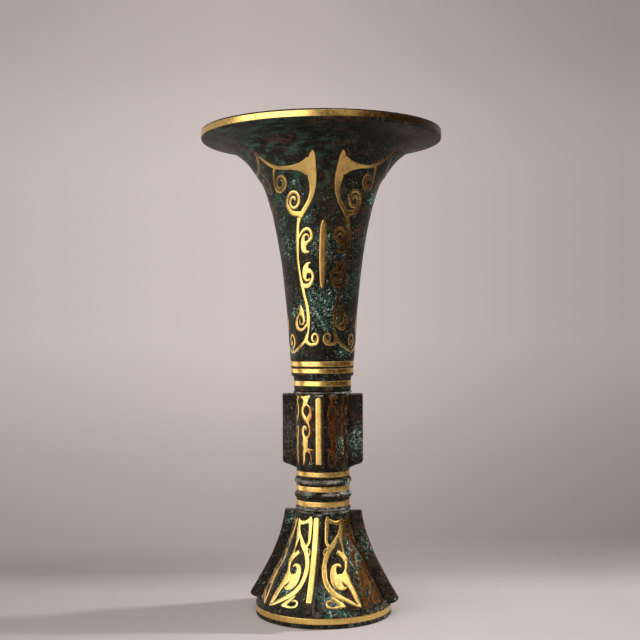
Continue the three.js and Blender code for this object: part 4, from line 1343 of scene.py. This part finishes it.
@dataclass
class SpreadingFoot(FlangedCasting):
    """Rounded-square foot with four flanges on a plain ring, hollow underneath."""

    top: float = 60.4
    body_bottom: float = 8.6
    ring: float = 39.5
    ring_top: float = 7.0
    groove_depth: float = 1.2
    ring_wall: float = 3.2
    wall: float = 4.2
    bore: float = 13.3
    hollow: Row = (9.5, 47.0)
    flange_top: float = 59.4
    steps: int = 160
    ring_steps: int = 200
    strip_ends: Row = (14.0, 58.6)
    turn: Turn = Turn(35.0, -10.8, 0.05)
    right: HandShift = HandShift(1.08, 0.04)
    outline: tuple[Row, ...] = (
        (17.0, 60.4), (17.8, 55.0), (20.8, 45.0), (25.4, 33.8), (33.3, 19.7), (39.2, 8.6),
    )
    flange: tuple[Row, ...] = (
        (22.5, 59.4), (23.1, 55.0), (25.7, 45.0), (30.2, 33.8), (37.8, 19.7), (42.9, 11.4), (44.0, 9.6),
    )
    flange_end: tuple[Row, ...] = ((43.8, 8.7), (42.6, 7.6), (41.0, 6.9), (39.6, 6.7), (34.0, 6.7))

    def band(self) -> Band:
        """The gold band round the ring."""
        return Band(upright(self.ring, 4.2, 3.4), self.ring_steps)

    def casting(self, surface: Surface) -> bmesh.types.BMesh:
        """The bronze: body, flanges and ring."""
        low, high = self.hollow
        inside = []
        for r, z in surface.rows[::5]:
            slope = surface.face(z)[1]
            steep = math.hypot(1.0, slope)
            level = z + self.wall * slope / steep
            if low < level < high:
                inside.append((r - self.wall / steep, level))
        step = self.ring - self.groove_depth
        body = self.squared(close_rows([
            (self.bore, self.top), *surface.rows[1::2], (step, self.body_bottom - 0.2),
            (step - 2.4, self.body_bottom - 0.2), *inside[::-1], (self.bore, high),
        ], 1.0), self.steps)
        inner = self.ring - self.ring_wall
        ring = spun(close_rows([
            (step - 2.2, 9.0), (step - 0.6, 9.0), (step, 8.0), (self.ring - 0.3, self.ring_top + 0.2),
            (self.ring, self.ring_top - 0.2), *self.band().groove(), (self.ring, 0.5), (self.ring - 0.4, 0.0),
            (inner, 0.0), (inner, 6.0),
        ], 0.9), self.ring_steps)
        root = [(r - 3.0, z) for r, z in surface.rows[::8] if 9.0 < z < 58.0]
        fins = self.flanges([
            *spaced(self.flange, 2.0), *self.flange_end, *root[::-1], (self.bore + 1.0, self.flange_top),
        ])
        bm = join([body, ring, *fins])
        weather(bm, lambda p: p.z < 0.3 or math.hypot(p.x, p.y) < surface.face(p.z)[0] * 0.88 - 2.0)
        return bm

    def build(self, finishes: Finishes) -> None:
        """Makes the casting and its gold."""
        surface = Surface(self.outline, self.turn, self.flatness, self.right)
        piece = new_piece(self.casting(surface), "foot_casting")
        declare(piece, finishes.foot_bronze, Slot.BRONZE, "spreading_foot")
        finishes.lay_gold(self.band().build(), "foot_gold_band")
        low, high = self.strip_ends
        face = [row for row in spaced(self.flange, 1.0) if low < row[1] < high]
        motifs = {"foot_scroll": FOOT_SCROLL, "foot_corner_scroll": CORNER_SCROLL}
        self.lay_ornament("foot", face, surface, motifs, finishes)


@dataclass
class Joints:
    """The filled joints between the castings, and the disc that closes the well.

    Attributes:
        upper: Inner and outer radius and lower and upper height of the upper filling.
        lower: The same for the lower filling.
        floor: Radius and lower and upper height of the disc.
        rings: How many rings of faces its flat sides have.
    """

    upper: tuple[float, float, float, float] = (13.3, 17.0, 127.7, 128.5)
    lower: tuple[float, float, float, float] = (13.3, 16.0, 60.7, 61.5)
    floor: tuple[float, float, float] = (12.7, 85.3, 87.4)
    rings: int = 5

    def build(self, finishes: Finishes) -> None:
        """Makes both filled joints and the well's floor."""
        for name, (inner, outer, low, high) in (("upper", self.upper), ("lower", self.lower)):
            bm = spun(close_rows([(inner, high), (outer, high), (outer, low), (inner, low)], 0.4), 128)
            reshape(bm, lambda p: p + radial(p) * 0.3 * noise.noise(p / 1.8))
            piece = new_piece(bm, f"{name}_joint_filling")
            declare(piece, finishes.filling, Slot.SOLDER, f"{name}_solder_ring")
        radius, low, high = self.floor
        bm = bmesh.new()
        bmesh.ops.create_cone(
            bm, cap_ends=True, segments=96, radius1=radius, radius2=radius, depth=high - low,
        )
        bmesh.ops.translate(bm, vec=(0, 0, (low + high) / 2), verts=bm.verts)
        caps = [f for f in bm.faces if len(f.verts) > 4]
        for _ in range(self.rings):
            bmesh.ops.inset_region(bm, faces=caps, thickness=1.8)
        piece = new_piece(bm, "well_floor_disc")
        declare(piece, finishes.knop_bronze, Slot.BRONZE, "well_floor")


# Studio, in metres

# Painted shade on the paper: the floor darkens towards the crease and, across, towards both sides, most on the
# left; the risen part is darkest at the crease, lightest part way up, darker again at the top and darker towards
# both sides
FLOOR_TONES_AND_SHADE: Stops = [
    (0.0, "#bdb6b7"), (0.42, "#bbb4b5"), (0.5, "#aea8a8"), (0.57, "#9f9999"), (0.7, "#979191"),
    (1.0, "#969090"),
]
FLOOR_FALLOFF: Stops = [
    (0.18, "#d9d9d9"), (0.3, "#e6e6e6"), (0.36, "#f0f0f0"), (0.42, "#fcfcfc"), (0.5, "#ffffff"),
    (0.62, "#fdfdfd"), (0.68, "#f7f7f7"), (0.74, "#f1f1f1"), (0.8, "#e8e8e8"),
]
WALL_TONES_LIGHT_AND_SHADE: Stops = [
    (0.0, "#a99d9a"), (0.08, "#a79b98"), (0.18, "#aea29f"), (0.28, "#b7aba8"), (0.38, "#c4b7b4"),
    (0.47, "#cfc2bf"), (0.7, "#cfc2bf"), (0.78, "#c9bcb9"), (0.85, "#bfb2af"), (0.92, "#b9acaa"),
]
WALL_FALLOFF: Stops = [
    (0.0, "#ebebeb"), (0.2, "#f7f7f7"), (0.37, "#ffffff"), (0.5, "#fafafa"), (0.62, "#f0f0f0"),
    (0.69, "#e8e8e8"), (0.76, "#e1e1e1"), (0.85, "#d8d8d8"), (0.94, "#d0d0d0"),
]
VASE_MIDDLE: Place = (0.0, 0.0, 0.14)


def stand(data: bpy.types.Light, place: Place, target: Place) -> bpy.types.Object:
    """Stands a lamp at a place, turned towards a target, out of the camera's sight."""
    lamp = bpy.data.objects.new(data.name, data)
    lamp.location = place
    lamp.rotation_euler = (Vector(target) - Vector(place)).to_track_quat("-Z", "Y").to_euler()
    lamp.visible_camera = False
    bpy.context.scene.collection.objects.link(lamp)
    return lamp


@dataclass(frozen=True)
class Softbox:
    """A soft lamp, or a lit card that shows in the metal alone.

    Attributes:
        name: Name of the lamp.
        place: Where it stands.
        target: What it points at.
        size: Width and height of its face.
        radiance: How bright its face is, where 1 shows as white.
        code: sRGB hex colour.
        lighting: Whether it lights matt surfaces.
    """

    name: str
    place: Place
    target: Place
    size: Row
    radiance: float
    code: str
    lighting: bool = True

    def build(self) -> None:
        """Adds the lamp; a face of 1 square metre and 4 watts has a radiance of 1."""
        data = bpy.data.lights.new(self.name, "AREA")
        data.shape = "RECTANGLE"
        data.size, data.size_y = self.size
        data.energy = 4 * self.radiance * self.size[0] * self.size[1]
        data.color = linear(self.code)[:3]
        stand(data, self.place, self.target).visible_diffuse = self.lighting


@dataclass(frozen=True)
class SideSpot:
    """Small lamp low on the right, which casts the vase's shadow to the left and doesn't show in the metal."""

    place: Place = (1.23, 0.19, 0.55)
    target: Place = (0.0, 0.0, 0.05)
    power: float = 80.0
    code: str = "#fffaf8"
    spread: float = 46.0
    soft: float = 0.4
    radius: float = 0.055

    def build(self) -> None:
        """Adds the lamp."""
        data = bpy.data.lights.new("low_side_spot", "SPOT")
        data.energy = self.power
        data.color = linear(self.code)[:3]
        data.spot_size = math.radians(self.spread)
        data.spot_blend = self.soft
        data.shadow_soft_size = self.radius
        stand(data, self.place, self.target).visible_glossy = False


@dataclass(frozen=True)
class Flag:
    """Dark curved cloth on the right, which keeps that side of the gold deep, as in the photograph.

    Attributes:
        name: Name of the flag.
        spread: First and last angle from the front, in degrees.
        reach: Distance from the axis.
        top: Height of its upper edge.
        cloth: sRGB hex colour.
    """

    name: str
    spread: Row
    reach: float
    top: float
    cloth: str = "#503c28"

    def build(self) -> None:
        """Adds the flag, which shows in the metal alone."""
        start, end = (math.radians(angle) for angle in self.spread)
        x, y = self.reach * math.sin(start), -self.reach * math.cos(start)
        bm = bmesh.new()
        low, high = (bm.verts.new((x, y, z)) for z in (0.002, self.top))
        edge = bm.edges.new((low, high))
        bmesh.ops.spin(
            bm, geom=[low, high, edge], cent=(0, 0, 0), axis=(0, 0, 1), dvec=(0, 0, 0), angle=end - start,
            steps=16, use_merge=False, use_duplicate=False,
        )
        flag = link_mesh(bm, self.name)
        material, nodes = new_material(f"{self.name}_cloth")
        nodes.add("OutputMaterial", nodes.add("BsdfDiffuse", self.cloth))
        flag.data.materials.append(material)
        flag.visible_camera = False
        flag.visible_diffuse = False
        flag.visible_shadow = False


@dataclass
class Studio:
    """Floor, backdrop, lamps and the camera at the photograph's angle.

    The camera was fitted to the photograph's ellipses.

    Attributes:
        focal_px: Focal length in pixels.
        image_px: Width of the photograph in pixels.
        distance: Camera's distance from the axis.
        eye: Camera's height.
        pitch: How far it looks up, in degrees.
        roll: How far it is tilted, in degrees.
        aside: How far it stands to the right.
        sensor: Width of its sensor, in millimetres.
        paper_width: Width of the paper.
        paper: Distance behind the axis and height along the paper, from the front to the top.
        lamps: The softboxes and cards.
        flags: The dark cloths.
    """

    focal_px: float = 1059.0
    image_px: float = 640.0
    distance: float = 0.621
    eye: float = 0.1642
    pitch: float = 0.54
    roll: float = 0.33
    aside: float = -0.0013
    sensor: float = 36.0
    paper_width: float = 5.0
    paper: tuple[Row, ...] = (
        (-2.0, 0.0), (-1.0, 0.0), (-0.4, 0.0), (0.0, 0.0), (0.16, 0.0), (0.19, 0.002), (0.23, 0.016),
        (0.265, 0.045), (0.288, 0.08), (0.3, 0.125), (0.3, 0.4), (0.3, 1.2), (0.3, 2.4),
    )
    lamps: tuple[Softbox, ...] = (
        Softbox("key_softbox", (-0.43, -0.43, 0.3), (0.0, 0.0, 0.2), (0.8, 0.56), 1.9, "#fff9f0"),
        Softbox("front_softbox", (0.0, -0.5, 1.0), VASE_MIDDLE, (0.6, 0.5), 1.7, "#fffaf6"),
        Softbox("top_softbox", (0.0, 0.1, 1.25), VASE_MIDDLE, (1.0, 0.9), 2.2, "#ffffff"),
        Softbox("right_card", (0.28, -0.42, 0.5), (0.0, 0.0, 0.03), (0.36, 0.3), 1.5, "#fff6ea", False),
        Softbox("left_card", (-0.3, 0.14, 0.09), (0.0, 0.0, 0.09), (0.2, 0.16), 1.0, "#fff0e4", False),
    )
    flags: tuple[Flag, ...] = (
        Flag("low_flag", (12.0, 118.0), 0.47, 0.2), Flag("tall_flag", (11.0, 30.0), 0.8, 0.6),
    )

    def build(self) -> None:
        """Makes the whole studio."""
        self._camera()
        self._sweep()
        self._world()
        for item in (*self.lamps, SideSpot(), *self.flags):
            item.build()

    def _camera(self) -> None:
        """Camera at the photograph's angle."""
        data = bpy.data.cameras.new("camera")
        data.sensor_width = self.sensor
        data.lens = self.focal_px * self.sensor / self.image_px
        data.clip_start = 0.01
        camera = bpy.data.objects.new("camera", data)
        camera.location = (self.aside, -self.distance, self.eye)
        camera.rotation_euler = (math.radians(90 + self.pitch), math.radians(self.roll), 0.0)
        bpy.context.scene.collection.objects.link(camera)
        bpy.context.scene.camera = camera

    def _sweep(self) -> None:
        """Paper that lies flat under the vase and rises behind it, its face towards the vase."""
        bm = bmesh.new()
        verts = [bm.verts.new((-self.paper_width / 2, y, z)) for y, z in spaced(self.paper, 0.02)]
        edges = [bm.edges.new((a, b)) for a, b in zip(verts, verts[1:])]
        wide = bmesh.ops.extrude_edge_only(bm, edges=edges)["geom"]
        bmesh.ops.translate(bm, vec=(self.paper_width, 0, 0), verts=new_verts(wide))
        bm.normal_update()
        if min(face.normal.z for face in bm.faces) < -0.5:
            bmesh.ops.reverse_faces(bm, faces=bm.faces)
        for face in bm.faces:
            face.smooth = True
        sweep = link_mesh(bm, "sweep")
        sweep.data.materials.append(self._paper())

    def _paper(self) -> bpy.types.Material:
        """Pinkish-grey paper, lit where it lies flat, with painted shade towards the crease and the sides.

        The part that rises glows with its tones as they are written, painted light and shade included, to
        the camera and in the metal. Its back lets light and sight through, so that the vase can be seen from
        behind too.
        """
        material, nodes = new_material("studio_paper")
        x, y, z = nodes.add("SeparateXYZ", nodes.add("TexCoord", output="Object")).node.outputs
        run = nodes.add("Math", y, z, operation="ADD")
        across = nodes.add("MapRange", x, -0.3, 0.3)
        parts = ((-0.1, 0.25, FLOOR_TONES_AND_SHADE, FLOOR_FALLOFF), (0.15, 0.8, WALL_TONES_LIGHT_AND_SHADE, WALL_FALLOFF))
        toned = []
        for start, end, tones, falloff in parts:
            along = nodes.add("ValToRGB", nodes.add("MapRange", run, start, end), stops=tones)
            fading = nodes.add("ValToRGB", across, stops=falloff)
            toned.append(nodes.add("Mix", 1.0, along, fading, data_type="RGBA", blend_type="MULTIPLY"))
        flat, risen = nodes.add("BsdfDiffuse", toned[0]), nodes.add("Emission", toned[1])
        rays = nodes.add("LightPath").node.outputs
        seen = rays["Is Camera Ray"]
        for ray in ("Is Glossy Ray", "Is Transmission Ray"):
            seen = nodes.add("Math", seen, rays[ray], operation="MAXIMUM")
        shown = nodes.add("Math", nodes.add("MapRange", run, 0.1, 0.2), seen, operation="MULTIPLY")
        paper = nodes.add("MixShader", shown, flat, risen)
        behind = nodes.add("NewGeometry", output="Backfacing")
        nodes.add("OutputMaterial", nodes.add("MixShader", behind, paper, nodes.add("BsdfTransparent")))
        return material

    def _world(self) -> None:
        """Even pale light from all round."""
        world = bpy.data.worlds.new("studio_air")
        nodes = Nodes(world)
        nodes.add("OutputWorld", nodes.add("Background", "#d8ccc8", 0.35))
        bpy.context.scene.world = world


def browned_and_shaded_gold() -> dict[str, bpy.types.Material]:
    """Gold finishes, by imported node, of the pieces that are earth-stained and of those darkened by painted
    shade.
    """
    # Painted shade on the rim's right half, which faces away from the light
    rim: tuple[Spot, ...] = (
        (36.0, -60.0, 277.5, 48.0, 1.0), (54.0, -45.0, 277.5, 60.0, 1.0), (66.0, -22.0, 277.5, 60.0, 1.0),
        (69.0, 12.0, 277.5, 60.0, 1.0),
    )
    arm: tuple[Spot, ...] = ((-30.0, -22.0, 249.0, 14.0, 0.95), (-38.0, -17.0, 262.0, 25.0, 1.0))
    # Painted shade on the right stem and horn of the front ornament, away from the light
    stem: tuple[Spot, ...] = (
        (14.0, -16.0, 195.0, 52.0, 0.92), (30.0, -22.0, 249.0, 15.0, 0.9), (39.0, -16.0, 261.0, 24.0, 1.0),
        (9.0, -34.0, 254.0, 30.0, 0.5),
    )
    # Painted reflection of dark surroundings in front, on the lens
    lens = tuple((0.5, -24.0, height, 12.0, 0.5) for height in (195.0, 207.0, 219.0))
    strand = tuple((-6.2, -15.6, float(height), 6.0, 0.95) for height in range(88, 121, 5))
    # Painted shade near the left and right outlines of the front view, on the neighbouring units' scrolls
    far = tuple((x, 0.0, 246.0, 70.0, 0.97) for x in (36.0, -36.0))
    # Painted shade on the right-hand scrolls of the knop and the foot and on the right-hand flange strips
    knop: tuple[Spot, ...] = ((10.0, -12.0, 105.0, 60.0, 1.0),)
    foot: tuple[Spot, ...] = ((28.0, -16.0, 30.0, 60.0, 0.85),)
    fins: tuple[Spot, ...] = ((40.0, -8.0, 40.0, 200.0, 0.95),)
    # The shaded finishes also carry more stain, which deepens their painted shade
    browned_and_shaded = (
        (InlaidGold("browned_gold_rim", 0.45, rim, "#2f180a"), "rim_gold_band"),
        (InlaidGold("browned_gold_left_arm", 0.35, arm), "neck_scroll_1_left"),
        (InlaidGold("browned_gold_right_stem", 0.45, stem), "neck_scroll_1_right"),
        (InlaidGold("browned_gold_lens", 0.4, lens, "#9a5522"), "neck_lens_1"),
        (InlaidGold("browned_gold_silhouette", 0.6, far, "#211810"), "neck_scroll_2_left", "neck_scroll_3_right"),
        (InlaidGold("browned_gold_strand", 0.35, strand, "#8a5426"), "knop_scroll_1_left"),
        (InlaidGold("browned_gold_knop", 0.5, knop, "#7d4821"), "knop_scroll_1_right", "knop_scroll_2_left"),
        (InlaidGold("browned_gold_foot", 0.5, foot, "#b36c31"), "foot_scroll_2_left",
         "foot_corner_scroll_2_left"),
        (InlaidGold("browned_gold_fin", 0.6, fins, "#2a1f14"), "knop_flange_strip_2", "foot_flange_strip_2"),
    )
    materials = {}
    for finish, *pieces in browned_and_shaded:
        materials.update(dict.fromkeys(pieces, finish.make()))
    return materials


def make_finishes() -> Finishes:
    """Makes every material of the vase."""
    neck = PatinatedBronze(
        "buried_cast_bronze_neck", 0.42, bare_above=262.0, streaked=((-34.0, -36.0, 268.0, 60.0, 0.8),),
        green_places=(
            (0.0, -26.0, 212.0, 16.0, 0.8), (-3.0, -20.0, 176.0, 24.0, 0.9), (-24.0, -22.0, 236.0, 12.0, 0.6),
            (-20.0, -14.0, 212.0, 16.0, 0.7), (22.0, -12.0, 192.0, 15.0, 0.45),
        ),
        # The purplish patch on the left edge, at a height of 190 mm, is a painted sheen
        tints=(("#3b2c20", (0.0, -28.0, 232.0, 24.0, 0.8)), ("#35262a", (-24.0, -8.0, 190.0, 22.0, 0.7)),
               ("#33291f", (-14.0, -34.0, 262.0, 20.0, 0.7))),
    )
    knop = PatinatedBronze(
        "buried_cast_bronze_knop", 0.42, "#1c170f", "#6b5f48", pale_heights=(127.6, 76.9, 70.4, 62.2),
        green_places=((21.0, -2.0, 100.0, 16.0, 1.0), (11.0, -13.0, 98.0, 9.0, 0.8)),
        tints=(("#4a2e1a", (9.0, -14.0, 105.0, 22.0, 0.8)), ("#3d2b1d", (-12.0, -12.0, 105.0, 20.0, 0.6)),
               ("#4a4a42", (-22.0, -2.0, 105.0, 18.0, 0.8))),
    )
    foot = PatinatedBronze(
        "buried_cast_bronze_foot", 0.52, "#1b1d14", "#7a7158", pale_heights=(60.2,),
        green_places=(
            (18.0, -18.0, 36.0, 16.0, 0.85), (3.0, -34.0, 16.0, 12.0, 0.9), (26.0, -8.0, 40.0, 14.0, 0.8),
        ),
        tints=(("#7d8a7c", (1.0, -34.0, 17.0, 10.0, 0.9)), ("#55351e", (24.0, -14.0, 38.0, 20.0, 0.8)),
               ("#4b3a28", (30.0, -20.0, 18.0, 18.0, 0.8)), ("#4a3a30", (-14.0, -26.0, 30.0, 18.0, 0.5)),
               ("#7a6660", (-5.0, -38.0, 10.0, 8.0, 0.6))),
    )
    gold, filling = InlaidGold("hammered_gold_sheet", 0.35), JointFilling("chalky_soft_solder")
    return Finishes(neck.make(), knop.make(), foot.make(), gold.make(), filling.make(), browned_and_shaded_gold())


def main() -> None:
    """Builds the vase and its studio."""
    logging.basicConfig(level=logging.INFO, format="%(name)s %(message)s")
    bpy.context.scene.view_settings.view_transform = "Standard"
    finishes = make_finishes()
    for part in (TrumpetNeck(), MiddleKnop(), SpreadingFoot(), Joints()):
        part.build(finishes)
    Studio().build()


if __name__ == "__main__":
    main()
